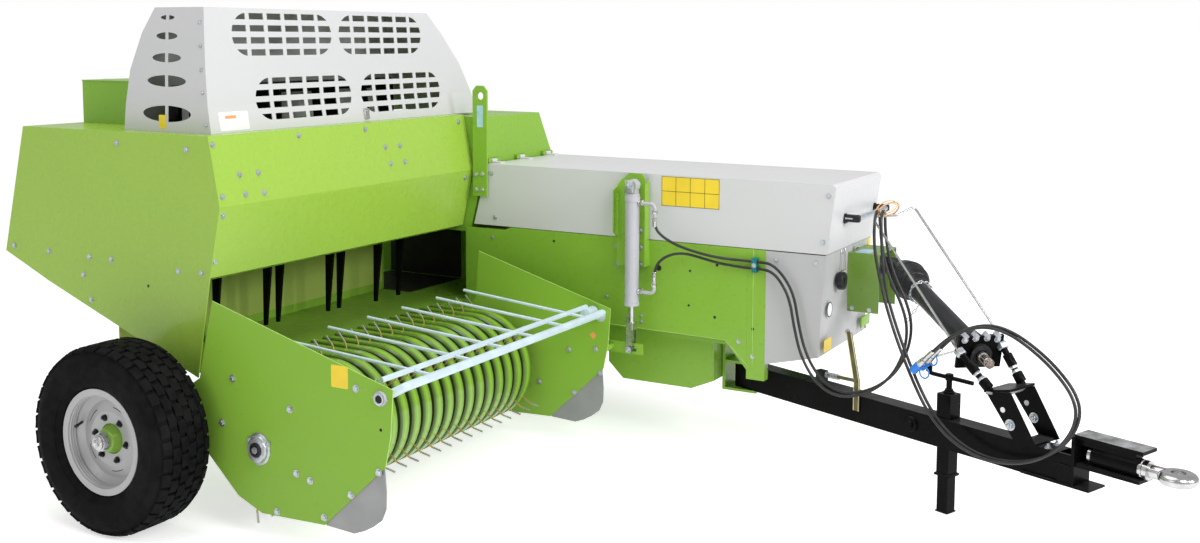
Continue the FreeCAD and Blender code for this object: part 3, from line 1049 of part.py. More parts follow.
level = V(-SHAFT.y, SHAFT.x, 0).normalize()
bracket = doc.addObject("Part::Box", "bearing_bracket_solid")
bracket.Length, bracket.Width, bracket.Height = 190, 140, 14
upright = SHAFT.cross(level)
turn = Rotation(level, upright, SHAFT, "ZXY")
bracket.Placement = FreeCAD.Placement(vec(*BEARING) - level * 95 - upright * 60 - SHAFT * 7, turn)
SIDE_PLATE = [(1453, 573), (1559, 596), (1679, 410), (1662, "drawbar_bottom + drawbar_height + 0.3"),
              (1592, "drawbar_bottom + drawbar_height + 0.3")]
node("bearing_support", group("bearing_support", [bearing, fuse("support_frame", [
    bar_plate("support_plate_right", SIDE_PLATE, 8, -76), bar_plate("support_plate_left", SIDE_PLATE, 8, 84),
    bar_box("support_foot", (70, 168, 8), 1592, -84, f"{BAR_TOP} + clearance"),
    bar_plate("support_crescent", [(1442, 572), (1560, 598), (1558, 608), (1440, 582)], 168, 84),
    rod("support_post_right", 13, on_bar(1470, -78, 584), on_bar(1304, -78, 722)),
    rod("support_post_left", 13, on_bar(1510, 78, 592), on_bar(1394, 80, 748)),
    cut("bearing_bracket", bracket, [disc("bracket_hole", "46 + clearance", 60, on_shaft(SHAFT_LENGTH - 30), SHAFT)]),
])]))

# ---------------------------------------------------------------- hose holder and hoses

node("hose_holder", pipe("hose_holder", [
    on_bar(1330, -98, 712), on_bar(835, -62, 1206), on_bar(930, -10, 1216), on_bar(955, 70, 1250),
    on_bar(1420, 100, 720)], 5, 18))

# Routes are points of x, y, z on the hose's middle line.
UPPER_START = [(1408, -122, 1124), (1408, -122, 1080), (1440, -100, 1035), (1510, -80, 997), (1605, -61, 969),
               (1700, -43, 952), (1800, -26, 947), (1845, -22, 946), (1905, -22, 946), (1965, -42, 945)]
LOWER_START = [(1408, -122, 831), (1408, -122, 872), (1424, -106, 922), (1474, -88, 955), (1535, -68, 964),
               (1605, -44, 946), (1697, -34, 925), (1800, -24, 915), (1845, -22, 914), (1905, -22, 914),
               (1960, -42, 912)]
RISE = [(2027, -50, 895), (2075, -50, 815), (2097, -50, 694), (2130, -53, 572), (2190, -62, 475),
        (2270, -76, 420), (2365, -88, 412), (2475, -85, 455), (2560, -72, 535), (2605, -58, 645), (2612, -50, 750),
        (2582, -50, 848), (2532, -50, 942), (2502, -50, 1030), (2484, -50, 1135)]
OVER = [(2482, -52, 1231), (2499, -168, 1231)]
LOOP = [(2505, -172, 1120), (2515, -178, 1020), (2530, -182, 920), (2563, -196, 825), (2616, -217, 700),
        (2697, -250, 545), (2775, -283, 430), (2880, -326, 350), (3012, -380, 315), (3168, -446, 340),
        (3290, -496, 412), (3360, -525, 505), (3384, -535, 592), (3358, -525, 668), (3280, -492, 745),
        (3200, -459, 798), (3112, -422, 840), (3021, -384, 853), (2936, -366, 832), (2866, -348, 785),
        (2818, -328, 733), (2782, -313, 693)]


def beside(points, x, y, z):
    return [(p[0] + x, p[1] + y, p[2] + z) for p in points]


ROUTES = {
    "hose_upper": UPPER_START + RISE + OVER + LOOP,
    "hose_lower": LOWER_START + beside(RISE, -14, -18, -14) + beside(OVER, -24, -4, 0) + beside(LOOP, -28, -16, -14),
}


def limp_bend(run, turn):
    return 0.45 * run / math.tan(turn / 2)


for name, route in ROUTES.items():
    corners = [vec(*point) for point in route]
    hose = doc.addObject("Part::Feature", name)
    hose.Shape = tube_along(corners, num("hose_radius"), limp_bend)
    radii = []
    for before, corner, after in zip(corners, corners[1:], corners[2:]):
        back, ahead = before - corner, after - corner
        radii.append(limp_bend(min(back.Length, ahead.Length), math.pi - back.getAngle(ahead)))
    print(name, "bend radii from", round(min(radii)), "to", round(max(radii)), "mm")
    node(name, hose)

node("hose_clamp", cut("hose_clamp", box("clamp_block", (24, "33 - panel_metal - clearance", 66), (1860, -33, 897)), [
    disc("clamp_bore_upper", 8, 60, (1845, -22, 946), X_AXIS),
    disc("clamp_bore_lower", 8, 60, (1845, -22, 914), X_AXIS)]))

couplers = []
post_a, post_b = vec(*on_bar(1470, -78, 584)), vec(*on_bar(1304, -78, 722))
for name, route in ROUTES.items():
    end, before = vec(*route[-1]), vec(*route[-2])
    way = (end - before).normalize()
    start = end + way * 0.3
    couplers.append(disc(name + "_ferrule", 11, 24, (start.x, start.y, start.z), way))
    body = start + way * 20
    couplers.append(disc(name + "_coupler", 14, 40, (body.x, body.y, body.z), way))
    cap = body + way * 36
    couplers.append(disc(name + "_cap", 17, 42, (cap.x, cap.y, cap.z), way))
ends = [vec(*route[-1]) + (vec(*route[-1]) - vec(*route[-2])).normalize() * 30 for route in ROUTES.values()]
couplers.append(rod("coupler_strap", 5, tuple(ends[0]), tuple(ends[1])))
post_way = (post_b - post_a).normalize()
nearest = post_a + post_way * (ends[0] - post_a).dot(post_way)
reach = min((ends[0] - post_a).dot(post_way), (post_b - post_a).Length - 8)
nearest = post_a + post_way * reach
toward = (nearest - ends[0]).normalize()
couplers.append(rod("coupler_stay", 4, tuple(ends[0]), tuple(nearest - toward * 17)))
node("hose_couplers", fuse("hose_couplers", couplers))

# ---------------------------------------------------------------- checks and files

doc.recompute()
for obj in doc.Objects:
    if "Invalid" in obj.State or "Error" in obj.State:
        raise RuntimeError(f"{obj.Name} does not recompute: {obj.State}")
for obj in NODES:
    if obj.Shape.isNull() or not obj.Shape.isValid():
        raise RuntimeError(f"{obj.Label} is not a valid shape")
for obj in NODES:
    obj.Shape.exportStep(f"parts/{obj.Label}.step")
whole = FreeCAD.BoundBox()
for obj in NODES:
    whole.add(obj.Shape.BoundBox)
print(len(NODES), "sub-parts", whole)
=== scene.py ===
import math

import bpy
from bpy.props import FloatProperty, FloatVectorProperty, IntProperty, PointerProperty
from mathutils import Matrix, Vector


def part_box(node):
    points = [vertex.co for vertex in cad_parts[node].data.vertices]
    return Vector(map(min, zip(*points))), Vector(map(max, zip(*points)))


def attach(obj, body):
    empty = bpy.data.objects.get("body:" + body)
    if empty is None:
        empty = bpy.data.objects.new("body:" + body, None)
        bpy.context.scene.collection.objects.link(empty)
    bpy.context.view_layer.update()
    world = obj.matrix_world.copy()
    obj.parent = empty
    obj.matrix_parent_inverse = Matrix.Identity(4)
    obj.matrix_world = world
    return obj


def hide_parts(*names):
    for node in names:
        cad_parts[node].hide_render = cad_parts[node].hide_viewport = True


bl_info = {
    "name": "Forage baler",
    "version": (1, 0, 0),
    "blender": (4, 5, 0),
    "location": "3D View > Sidebar > Baler",
    "description": "Fits a towed forage baler with its tyres, hoses, fasteners and finishes",
    "category": "Object",
}

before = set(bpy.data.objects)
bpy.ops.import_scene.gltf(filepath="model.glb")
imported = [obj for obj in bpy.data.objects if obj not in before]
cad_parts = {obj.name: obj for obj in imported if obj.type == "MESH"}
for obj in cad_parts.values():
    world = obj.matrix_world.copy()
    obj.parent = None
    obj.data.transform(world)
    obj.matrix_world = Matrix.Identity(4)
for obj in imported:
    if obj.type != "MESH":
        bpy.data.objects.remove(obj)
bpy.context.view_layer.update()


def middle_of(name):
    """The middle of a node's box."""
    return Vector([sum(pair) / 2 for pair in zip(*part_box(name))])


# Machine axes: X forward from the axle, Y left from the bale chamber's right wall, Z up from the ground.
WHEEL = [sum(pair) / 2 for pair in zip(*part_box("tyre_right"))]
WHEEL_ACROSS = 2.02                    # from the right tyre's middle to the bale chamber's wall
ORIGIN = Vector((WHEEL[0], WHEEL[1] + WHEEL_ACROSS, 0))
X, Y, Z = Vector((1, 0, 0)), Vector((0, 1, 0)), Vector((0, 0, 1))
BAR_TURN = math.radians(-22.5)
ALONG_BAR = Vector((math.cos(BAR_TURN), math.sin(BAR_TURN), 0))
ACROSS_BAR = Vector((-math.sin(BAR_TURN), math.cos(BAR_TURN), 0))
BAND_START = 1.77                     # from the origin across to the first slot between stripper bands
TINE_PITCH, BAND_GAP = 0.079, 0.02
TINE_BARS, TINES_PER_BAR = 5, 20


def at(x, y, z):
    """A point given in the machine's axes."""
    return ORIGIN + Vector((x, y, z))


def mm(*rows):
    """Rows of millimetres, in metres."""
    return [tuple(number / 1000 for number in row) for row in rows]


def on_side(y, *places):
    """Points on an upright face at a distance across, from (forward, height) in millimetres."""
    return [at(x, y, z) for x, z in mm(*places)]


def on_front(x, *places):
    """Points on an upright face at a distance forward, from (across, height) in millimetres."""
    return [at(x, y, z) for y, z in mm(*places)]


def on_bar(reach, cross, z):
    """A point measured along the drawbar from its rear end, across it to the left, and up."""
    return at(1.69, 0.275, z) + ALONG_BAR * reach + ACROSS_BAR * cross


SHAFT_REAR = at(2.388, 0.455, 0.898)
SHAFT_FRONT = on_bar(1.352, 0.0026, 0.7)
SHAFT = (SHAFT_FRONT - SHAFT_REAR).normalized()
SHAFT_LENGTH = (SHAFT_FRONT - SHAFT_REAR).length
REEL_AXIS = at(0.565, 0, 0.367)
# Outer faces, from the origin.
PANEL_FACE, FAR_FACE, COVER_FACE = -0.005, 0.66, 2.2    # side panels across, front cover forward
PICKUP_RIGHT, PICKUP_LEFT = -1.84, -0.205         # the pickup's plates across


# ---------------------------------------------------------------- settings

def size(name, description, default):
    return FloatProperty(name=name, description=description, default=default, min=0.0, subtype="DISTANCE",
                         unit="LENGTH")


def colour(name, description, default):
    return FloatVectorProperty(name=name, description=description, default=default, size=3, min=0.0, max=1.0,
                               subtype="COLOR")


class BalerSizes(bpy.types.PropertyGroup):
    """Sizes of the small parts that a user may change."""

    tyre_lugs: IntProperty(name="Tyre lugs", description="Tread lugs in each row round a tyre",
                           default=36, min=20, max=80)
    lug_depth: size("Lug depth", "Depth of the tyres' tread", 0.014)
    bolt_head: size("Bolt head", "Radius of a panel bolt's head", 0.0095)
    hose_diameter: size("Hose diameter", "Outside diameter of a hydraulic hose", 0.013)
    chain_wire: size("Chain wire", "Thickness of the guard chain's wire", 0.004)
    spring_wire: size("Spring wire", "Thickness of a small spring's wire", 0.003)


class BalerColours(bpy.types.PropertyGroup):
    """Colours of the machine's finishes."""

    body_green: colour("Body green", "Lime green paint of the body panels", (0.235, 0.452, 0.043))
    cover_grey: colour("Cover grey", "Light grey paint of the hood and covers", (0.62, 0.62, 0.63))
    running_gear: colour("Running gear", "Black paint of the drawbar and shaft guards",
                         (0.004, 0.004, 0.0045))
    wheel_silver: colour("Wheel silver", "Silver grey paint of the rims", (0.42, 0.42, 0.43))
    zinc: colour("Zinc", "Galvanised tubes and small hardware", (0.56, 0.61, 0.66))
    brass_zinc: colour("Yellow zinc", "Yellow passivated levers and tines", (0.62, 0.5, 0.27))
    rubber: colour("Rubber", "Tyre rubber", (0.005, 0.005, 0.0055))
    cap_blue: colour("Cap blue", "Hydraulic dust caps", (0.02, 0.2, 0.72))
    clamp_teal: colour("Clamp teal", "Moulded hose clamp", (0.0, 0.17, 0.18))
    plate_yellow: colour("Plate yellow", "Blank yellow plates", (0.86, 0.63, 0.03))


# ---------------------------------------------------------------- finishes

class Graph:
    """The nodes of a material or a world, with the patterns that the finishes share."""

    def __init__(self, owner):
        owner.use_nodes = True
        self.nodes, self.links = owner.node_tree.nodes, owner.node_tree.links
        self.shader = self.nodes.get("Principled BSDF")

    def feed(self, socket, value):
        """Links another node's output to a socket, or sets the socket's own number or colour."""
        if hasattr(value, "links"):
            self.links.new(value, socket)
        else:
            socket.default_value = (*value, 1) if socket.type == "RGBA" else value

    def add(self, kind, inputs=(), **settings):
        """A new node with its settings and inputs."""
        node = self.nodes.new("ShaderNode" + kind)
        for name, value in settings.items():
            setattr(node, name, value)
        for key, value in dict(inputs).items():
            self.feed(node.inputs[key], value)
        return node

    def surface(self, inputs):
        """Sets the shader's own sockets."""
        for name, value in inputs.items():
            self.feed(self.shader.inputs[name], value)

    def space(self):
        """Places in the piece's own space."""
        return self.add("TexCoord").outputs["Object"]

    def part(self, vector, axis):
        """One component of a vector."""
        return self.add("SeparateXYZ", {0: vector}).outputs[axis]

    def noise(self, scale, detail=4):
        """A noise pattern in the piece's own space, its scale in features to the metre."""
        return self.add("TexNoise", {"Scale": scale, "Detail": detail, "Vector": self.space()}).outputs["Fac"]

    def cells(self, scale):
        """A pattern of cells in the piece's own space."""
        return self.add("TexVoronoi", {"Scale": scale, "Vector": self.space()}).outputs

    def spread(self, value, low, high, start=0.3, end=0.7):
        """Maps a pattern from start..end to low..high."""
        return self.add("MapRange", {"Value": value, "From Min": start, "From Max": end,
                                     "To Min": low, "To Max": high}).outputs["Result"]

    def mix(self, factor, first, second):
        """A mix of two colours, each a triple or a node's output."""
        return self.add("Mix", {0: factor, 6: first, 7: second}, data_type="RGBA").outputs[2]

    def maths(self, operation, first, second=0):
        """A sum on one or two numbers."""
        return self.add("Math", {0: first, 1: second}, operation=operation).outputs[0]

    def near(self, centre, axis, radius):
        """1 within a radius of an axis through a point, or of the point itself, and 0 outside it."""
        offset = self.add("VectorMath", {0: self.space(), 1: centre}, operation="SUBTRACT")
        flat = self.add("VectorMath", {0: offset.outputs[0], 1: [1 - abs(a) for a in axis]},
                        operation="MULTIPLY")
        length = self.add("VectorMath", {0: flat.outputs[0]}, operation="LENGTH")
        return self.maths("LESS_THAN", length.outputs["Value"], radius)

    def relief(self, height, distance, strength=0.5):
        """Raises a pattern in the surface's shading, by a distance in metres."""
        bump = self.add("Bump", {"Height": height, "Strength": strength, "Distance": distance})
        self.surface({"Normal": bump.outputs["Normal"]})


ROAD_DUST = (0.33, 0.29, 0.22)


def new_finish(name):
    """A new material and its graph."""
    material = bpy.data.materials.new(name)
    return material, Graph(material)


def shade(base, amount):
    """A colour made lighter or darker."""
    return tuple(min(1.0, max(0.0, c * amount)) for c in base)


def coated(name, base, roughness=0.3, metallic=0, coat=0, tint=0.08, patch=2.5, grain=420, relief=0.00002,
           dust=0, zones=(), shine=0.5, top_sheen=None):
    """Paint, plastic or plated metal: uneven tone, fine surface, dust low down, zones of another colour and,
    when asked, a painted highlight on faces turned upwards.
    """
    material, look = new_finish(name)
    tone = look.mix(look.spread(look.noise(patch), 0, 1), shade(base, 1 - tint), shade(base, 1 + tint))
    for centre, axis, radius, other in zones:
        tone = look.mix(look.near(centre, axis, radius), tone, other)
    if dust:
        low = look.spread(look.part(look.space(), "Z"), dust, 0, 0.02, 0.75)
        patches = look.spread(look.noise(14, 6), 0.25, 1)
        tone = look.mix(look.maths("MULTIPLY", low, patches), tone, ROAD_DUST)
    # Painted highlight: faces turned upwards take a lighter tone in noisy patches, standing for light caught
    # on top faces.
    if top_sheen:
        level = look.spread(look.part(look.add("NewGeometry").outputs["Normal"], "Z"), 0, 1, 0.55, 0.98)
        worn = look.spread(look.noise(11, 6), 0.35, 1)
        tone = look.mix(look.maths("MULTIPLY", level, worn), tone, top_sheen)
    uneven = look.spread(look.noise(26, 5), roughness * 0.8, min(1, roughness * 1.25))
    look.surface({"Base Color": tone, "Roughness": uneven, "Metallic": metallic, "Specular IOR Level": shine,
                  "Coat Weight": coat, "Coat Roughness": 0.12})
    look.relief(look.noise(grain, 2), relief, 0.6)
    return material


def bands_with_painted_shading(name, base, first, pitch, gap):
    """Glossy paint on strips side by side along Y, with painted shade over each strip's edges and a painted
    highlight along its middle, so that they look rolled.
    """
    material = coated(name, base, 0.2, coat=0.4, tint=0.05, patch=6)
    look = Graph(material)
    tone = look.shader.inputs["Base Color"].links[0].from_socket
    turns = look.maths("DIVIDE", look.maths("SUBTRACT", look.part(look.space(), "Y"), first), pitch)
    middle = look.maths("ABSOLUTE", look.maths("SUBTRACT", look.maths("FRACT", turns), 0.5))
    edge = 0.5 - gap / pitch / 2
    # Painted shade: darker towards each strip's edges.
    tone = look.mix(look.spread(middle, 0, 1, edge * 0.62, edge * 0.92), tone, shade(base, 0.28))
    # Painted highlight: lighter along each strip's middle.
    look.surface({"Base Color": look.mix(look.spread(middle, 1, 0, 0.02, 0.2), tone, shade(base, 1.5))})
    return material


def galvanised(name, base):
    """Hot-dip zinc with its crystal spangle."""
    material, look = new_finish(name)
    grey = look.add("SeparateColor", {0: look.cells(90)["Color"]}).outputs[0]
    tone = look.mix(look.spread(grey, 0, 1, 0, 1), shade(base, 0.82), shade(base, 1.12))
    cloud = look.spread(look.noise(9), 0, 0.35)
    look.surface({"Base Color": look.mix(cloud, tone, shade(base, 0.7)), "Metallic": 0.75,
                  "Roughness": look.spread(grey, 0.3, 0.48, 0, 1)})
    look.relief(look.noise(300), 0.00006)
    return material


def tyre_rubber(name, base):
    """Tyre rubber, mottled and greyed in patches by dust, with a fine grain in its surface."""
    material, look = new_finish(name)
    mottled = look.mix(look.spread(look.noise(30, 6), 0, 1), shade(base, 0.7), shade(base, 1.7))
    dusty = look.spread(look.noise(7, 5), 0, 0.22, 0.45, 0.8)
    look.surface({"Base Color": look.mix(dusty, mottled, (0.03, 0.029, 0.027)), "Specular IOR Level": 0.06,
                  "Roughness": look.spread(look.noise(60), 0.55, 0.8)})
    look.relief(look.noise(190, 5), 0.0004)
    return material


def braided_hose(name, base):
    """Wrapped rubber hose: a fine cell-like bump under a satin skin, greyed in patches."""
    material, look = new_finish(name)
    worn = look.spread(look.noise(18, 5), 0, 0.5, 0.5, 0.8)
    look.surface({"Base Color": look.mix(worn, base, (0.05, 0.05, 0.052)), "Specular IOR Level": 0.55,
                  "Roughness": look.spread(look.noise(45), 0.32, 0.5)})
    look.relief(look.cells(620)["Distance"], 0.0003)
    return material


FINISHES = {}                          # finish name: material, its slot


def mix_finishes(colours):
    """Every finish on the machine, and the slot that each stands for."""
    green, grey, silver = tuple(colours.body_green), tuple(colours.cover_grey), tuple(colours.wheel_silver)
    hubs = [(at(0, -WHEEL_ACROSS, 0.38), Y, 0.0625, green)]
    bosses = [(REEL_AXIS, Y, 0.05, (0.5, 0.51, 0.53)), (at(1.166, 0, 0.652), Y, 0.029, (0.5, 0.52, 0.54))]
    latch_block = [(on_bar(0.557, -0.043, 0.437), Vector(), 0.062, (0.008, 0.008, 0.009))]
    tine_roots = [(REEL_AXIS, Y, 0.308, (0.62, 0.47, 0.18))]
    # Painted light: a paler olive on the upper back wall of the feeder trough.
    lit_back_wall = [(at(-0.304, 0, 0.9), Y, 0.26, (0.3, 0.4, 0.085))]

    def mix(slot, name, base, roughness, metallic=0, **rest):
        FINISHES[name] = coated(name.replace(" ", "_"), base, roughness, metallic, **rest), slot

    paint = {"tint": 0.02, "patch": 1.3}
    mix("green_paint", "green paint", green, 0.3, coat=0.08, dust=0.1, shine=0.35, **paint)
    mix("green_paint", "pickup paint", green, 0.34, dust=0.1, zones=bosses, shine=0.2, **paint)
    # Housing paint is a lighter, bluer copy of the body green: painted light and sheen on the feeder housing.
    housing = green[0] * 1.34, green[1] * 1.13, green[2] * 1.42
    mix("green_paint", "lit housing paint", housing, 0.28, coat=0.2, shine=0.45, **paint)
    mix("green_paint", "shield paint", (0.165, 0.31, 0.036), 0.32, coat=0.15, tint=0.04, patch=4)
    # A lighter green for painted highlights along folds and edges.
    mix("green_paint", "edge highlight green", (0.4, 0.62, 0.16), 0.35, tint=0.1, patch=30, shine=0.3)
    # Trough paint is a darker, blotchier copy of the body green: painted shade inside the feeder, with
    # painted light on its back wall.
    mix("green_paint", "trough paint", shade(green, 0.78), 0.4, tint=0.12, patch=3,
        zones=lit_back_wall, shine=0.25)
    cover = {"tint": 0.015, "patch": 1}
    mix("grey_paint", "grey paint", grey, 0.4, coat=0.05, shine=0.35, **cover)
    # Cover grey paint is a slightly darker copy of the cover grey: painted shade on the slotted cover.
    mix("grey_paint", "cover grey paint", shade(grey, 0.92), 0.42, shine=0.3, **cover)
    mix("grey_paint", "panel grey", shade(grey, 0.76), 0.42, shine=0.3, **cover)
    mix("grey_paint", "barrel grey", (0.44, 0.44, 0.48), 0.3, coat=0.2, tint=0.03, patch=4)
    # Black paint carries a painted highlight on its upward faces.
    mix("black_paint", "black paint", tuple(colours.running_gear), 0.24, tint=0.3, patch=5,
        dust=0.006, shine=0.06, top_sheen=(0.045, 0.045, 0.047))
    # Deep black: the ruled lines and rims of plates, and painted shade in holes and bores.
    mix("black_paint", "deep black", (0.004, 0.004, 0.004), 0.7, tint=0.3, patch=30)
    # Near-black for sheets of painted shade inside the chamber.
    mix("black_paint", "chamber shade black", (0.02, 0.016, 0.012), 0.5, 0.3, tint=0.5, patch=9)
    mix("black_paint", "worn plate", (0.28, 0.285, 0.29), 0.38, 0.4, tint=0.6, patch=22)
    mix("silver_paint", "wheel paint", silver, 0.34, 0.15, coat=0.2, dust=0.16, zones=hubs)
    # Skid paint is a darker copy of the wheel silver: painted shade on the skids.
    mix("silver_paint", "skid paint", shade(silver, 0.72), 0.4, 0.2, patch=9)
    mix("zinc", "guard paint", (0.55, 0.66, 0.73), 0.35, 0.1, coat=0.1, patch=12)
    mix("zinc", "bolt zinc", (0.55, 0.58, 0.62), 0.3, 0.8, tint=0.18, patch=60)
    mix("bright_steel", "bright steel", (0.6, 0.6, 0.6), 0.22, 1, tint=0.12, patch=40, relief=0.00003)
    mix("bright_steel", "worn bronze", (0.66, 0.54, 0.47), 0.3, 0.8, tint=0.3, patch=50)
    plated = {"slot": "yellow_zinc", "patch": 14}
    mix(name="yellow zinc", base=tuple(colours.brass_zinc), roughness=0.33, metallic=0.85,
        tint=0.25, **plated)
    mix(name="tine wire", base=(0.5, 0.5, 0.47), roughness=0.33, metallic=0.6, tint=0.25,
        zones=tine_roots, **plated)
    mix(name="lever zinc", base=(0.15, 0.14, 0.065), roughness=0.36, metallic=0.4, tint=0.35,
        zones=latch_block, **plated)
    mix("yellow_zinc", "red wire", (0.55, 0.06, 0.03), 0.35, 0.2, tint=0.2, patch=60)
    mix("yellow_zinc", "cream wire", (0.78, 0.66, 0.38), 0.35, 0.2, tint=0.2, patch=60)
    mix("yellow_zinc", "copper wire", (0.82, 0.47, 0.2), 0.3, 0.6, tint=0.3, patch=60)
    mix("yellow_zinc", "yellow plate", tuple(colours.plate_yellow), 0.4, tint=0.06, patch=9)
    mix("yellow_zinc", "orange plate", (0.8, 0.33, 0.1), 0.4, tint=0.06, patch=9)
    mix("grey_paint", "white plate", (0.78, 0.79, 0.8), 0.4, tint=0.04, patch=9)
    mix("grey_paint", "sky plate", (0.42, 0.66, 0.8), 0.35, tint=0.2, patch=20)
    mix("cast_grey", "cast iron", (0.085, 0.088, 0.095), 0.55, 0.3, tint=0.2, patch=18,
        grain=160, relief=0.0005)
    mix("cast_grey", "dark steel", (0.045, 0.045, 0.048), 0.4, 0.8, tint=0.3, patch=30)
    mix("guard_plastic", "guard plastic", (0.01, 0.01, 0.012), 0.33, tint=0.4, patch=12,
        grain=240, relief=0.0002, shine=0.35)
    mix("blue_plastic", "blue plastic", tuple(colours.cap_blue), 0.3, tint=0.1, patch=30)
    mix("teal_plastic", "teal plastic", tuple(colours.clamp_teal), 0.4, tint=0.15, patch=30)
    # The bands wear a darker copy of the body green, painted shade on the stripper bands, with painted shade
    # and highlight across each band.
    bands = bands_with_painted_shading("band_paint", shade(green, 0.66), ORIGIN.y - BAND_START, TINE_PITCH, BAND_GAP)
    FINISHES.update({
        "band paint": (bands, "green_paint"), "zinc": (galvanised("galvanised", tuple(colours.zinc)), "zinc"),
        "tyre": (tyre_rubber("tyre_rubber", tuple(colours.rubber)), "rubber"),
        "hose": (braided_hose("hose_rubber", (0.013, 0.013, 0.014)), "hose")})


NODE_FINISHES = {                      # finish: the frame's nodes that wear it
    "green paint": "bale_chamber chassis cylinder_bracket front_columns knotter_cover lifting_lug "
                   "pickup_pivot_tube side_panels twine_box twine_lid",
    "lit housing paint": "feeder_housing",
    "pickup paint": "pickup_plates pickup_frame",
    "band paint": "stripper_bands",
    "grey paint": "hood",
    "cover grey paint": "slotted_cover",
    "trough paint": "feeder_trough",
    "guard paint": "windguard",
    "panel grey": "front_cover",
    "barrel grey": "lift_barrel",
    "black paint": "bearing_support drawbar feeder_forks hitch_head jack_leg jack_tube needle_yoke reel",
    "wheel paint": "rim_left rim_right",
    "skid paint": "skids",
    "zinc": "tension_rails hood_handle",
    "bright steel": "hitch_eye hose_holder input_stub lift_rod hose_couplers",
    "shield paint": "pto_shield",
    "lever zinc": "drawbar_latch",
    "tine wire": "tines",
    "cast iron": "gearbox_and_flywheel knotters plunger",
    "tyre": "tyre_left tyre_right",
    "hose": "hose_lower hose_upper",
    "guard plastic": "drive_shaft_guard",
    "teal plastic": "hose_clamp",
}


# ---------------------------------------------------------------- modelling by hand, in code

def alone(*pieces):
    """Selects just these pieces, the first one active."""
    bpy.ops.object.select_all(action="DESELECT")
    for piece in pieces:
        piece.select_set(True)
    bpy.context.view_layer.objects.active = pieces[0]


def settle(name):
    """Names the piece just added and puts its place and size into its mesh."""
    piece = bpy.context.view_layer.objects.active
    piece.name = name
    alone(piece)
    bpy.ops.object.transform_apply(location=True, rotation=True, scale=True)
    return piece


def work(piece, kind, test, *steps):
    """Selects a piece's faces, edges or vertices by a test, and runs edit-mode steps on them."""
    alone(piece)
    bpy.ops.object.mode_set(mode="EDIT")
    bpy.ops.mesh.select_mode(type=kind)
    bpy.ops.mesh.select_all(action="DESELECT")
    bpy.ops.object.mode_set(mode="OBJECT")
    for item in {"FACE": piece.data.polygons, "EDGE": piece.data.edges, "VERT": piece.data.vertices}[kind]:
        item.select = test(item)
    bpy.ops.object.mode_set(mode="EDIT")
    for step in steps:
        step()
    bpy.ops.object.mode_set(mode="OBJECT")
    return piece


def everything(_item):
    return True


def bevel(offset, segments=2, affect="EDGES"):
    """An edit-mode step that breaks the selected edges or corners."""
    return lambda: bpy.ops.mesh.bevel(offset=offset, segments=segments, affect=affect)


def extrude(run):
    """An edit-mode step that draws the selection out by a vector."""
    return lambda: bpy.ops.mesh.extrude_region_move(TRANSFORM_OT_translate={"value": tuple(run)})


def face_outward():
    """The last edit-mode step of a closed piece."""
    bpy.ops.mesh.select_all(action="SELECT")
    bpy.ops.mesh.normals_make_consistent(inside=False)


def facing(direction):
    """The turn that brings +Z to a direction."""
    return Vector(direction).to_track_quat("Z", "Y")


def polar(side, up, radius, angle):
    """A vector of some length at an angle in radians from one side towards another."""
    return side * (radius * math.cos(angle)) + up * (radius * math.sin(angle))


def block(name, centre, extent, turn=(0, 0, 0), edge=0.0015, steps=2):
    """A block with broken edges."""
    bpy.ops.object.select_all(action="DESELECT")
    bpy.ops.mesh.primitive_cube_add(size=1, location=centre, rotation=turn, scale=extent)
    piece = settle(name)
    if edge:
        work(piece, "EDGE", everything, bevel(edge, steps))
    return piece


def drum(name, start, end, radius, sides, edge=0):
    """A round or hexagonal bar between two points, its rims broken by an edge."""
    start, end = Vector(start), Vector(end)
    bpy.ops.object.select_all(action="DESELECT")
    bpy.ops.mesh.primitive_cone_add(vertices=sides, radius1=radius, radius2=radius,
                                    depth=(end - start).length, location=(start + end) / 2,
                                    rotation=facing(end - start).to_euler())
    piece = settle(name)
    if edge:
        rims = [face for face in piece.data.polygons if len(face.vertices) == sides and sides > 4]
        keys = {key for face in rims for key in face.edge_keys}
        work(piece, "EDGE", lambda item: item.key in keys, bevel(edge))
    return piece


def turned(name, centre, axis, outline, sides, closed=True):
    """A turned piece: an outline of (distance along the axis, radius) spun about the axis."""
    centre, axis = Vector(centre), Vector(axis).normalized()
    side = axis.orthogonal().normalized()
    points = [centre + axis * along + side * radius for along, radius in outline]
    bpy.ops.object.select_all(action="DESELECT")
    bpy.ops.mesh.primitive_plane_add(size=0.001, location=points[0])
    piece = settle(name)
    steps = [extrude(after - before) for before, after in zip(points, points[1:])]
    work(piece, "VERT", everything, lambda: bpy.ops.mesh.merge(type="CENTER"), *steps)
    if closed:
        work(piece, "VERT", lambda item: item.index in (0, len(points) - 1), bpy.ops.mesh.edge_face_add)
    work(piece, "VERT", everything,
         lambda: bpy.ops.mesh.spin(steps=sides, angle=2 * math.pi, center=centre, axis=axis),
         lambda: bpy.ops.mesh.select_all(action="SELECT"),
         lambda: bpy.ops.mesh.remove_doubles(threshold=0.00002),
         face_outward)
    return piece


def bent(name, points, thickness, smooth=True, closed=False, sides=4, fine=6):
    """A round curve through or along points."""
    line = bpy.data.curves.new(name, "CURVE")
    line.dimensions = "3D"
    line.bevel_depth, line.bevel_resolution, line.resolution_u = thickness / 2, sides, fine
    line.use_fill_caps = True
    route = line.splines.new("NURBS" if smooth else "POLY")
    route.points.add(len(points) - 1)
    for target, point in zip(route.points, points):
        target.co = (*point, 1)
    if smooth:
        route.order_u = 3
        route.use_endpoint_u = not closed
    route.use_cyclic_u = closed
    piece = bpy.data.objects.new(name, line)
    bpy.context.collection.objects.link(piece)
    return piece


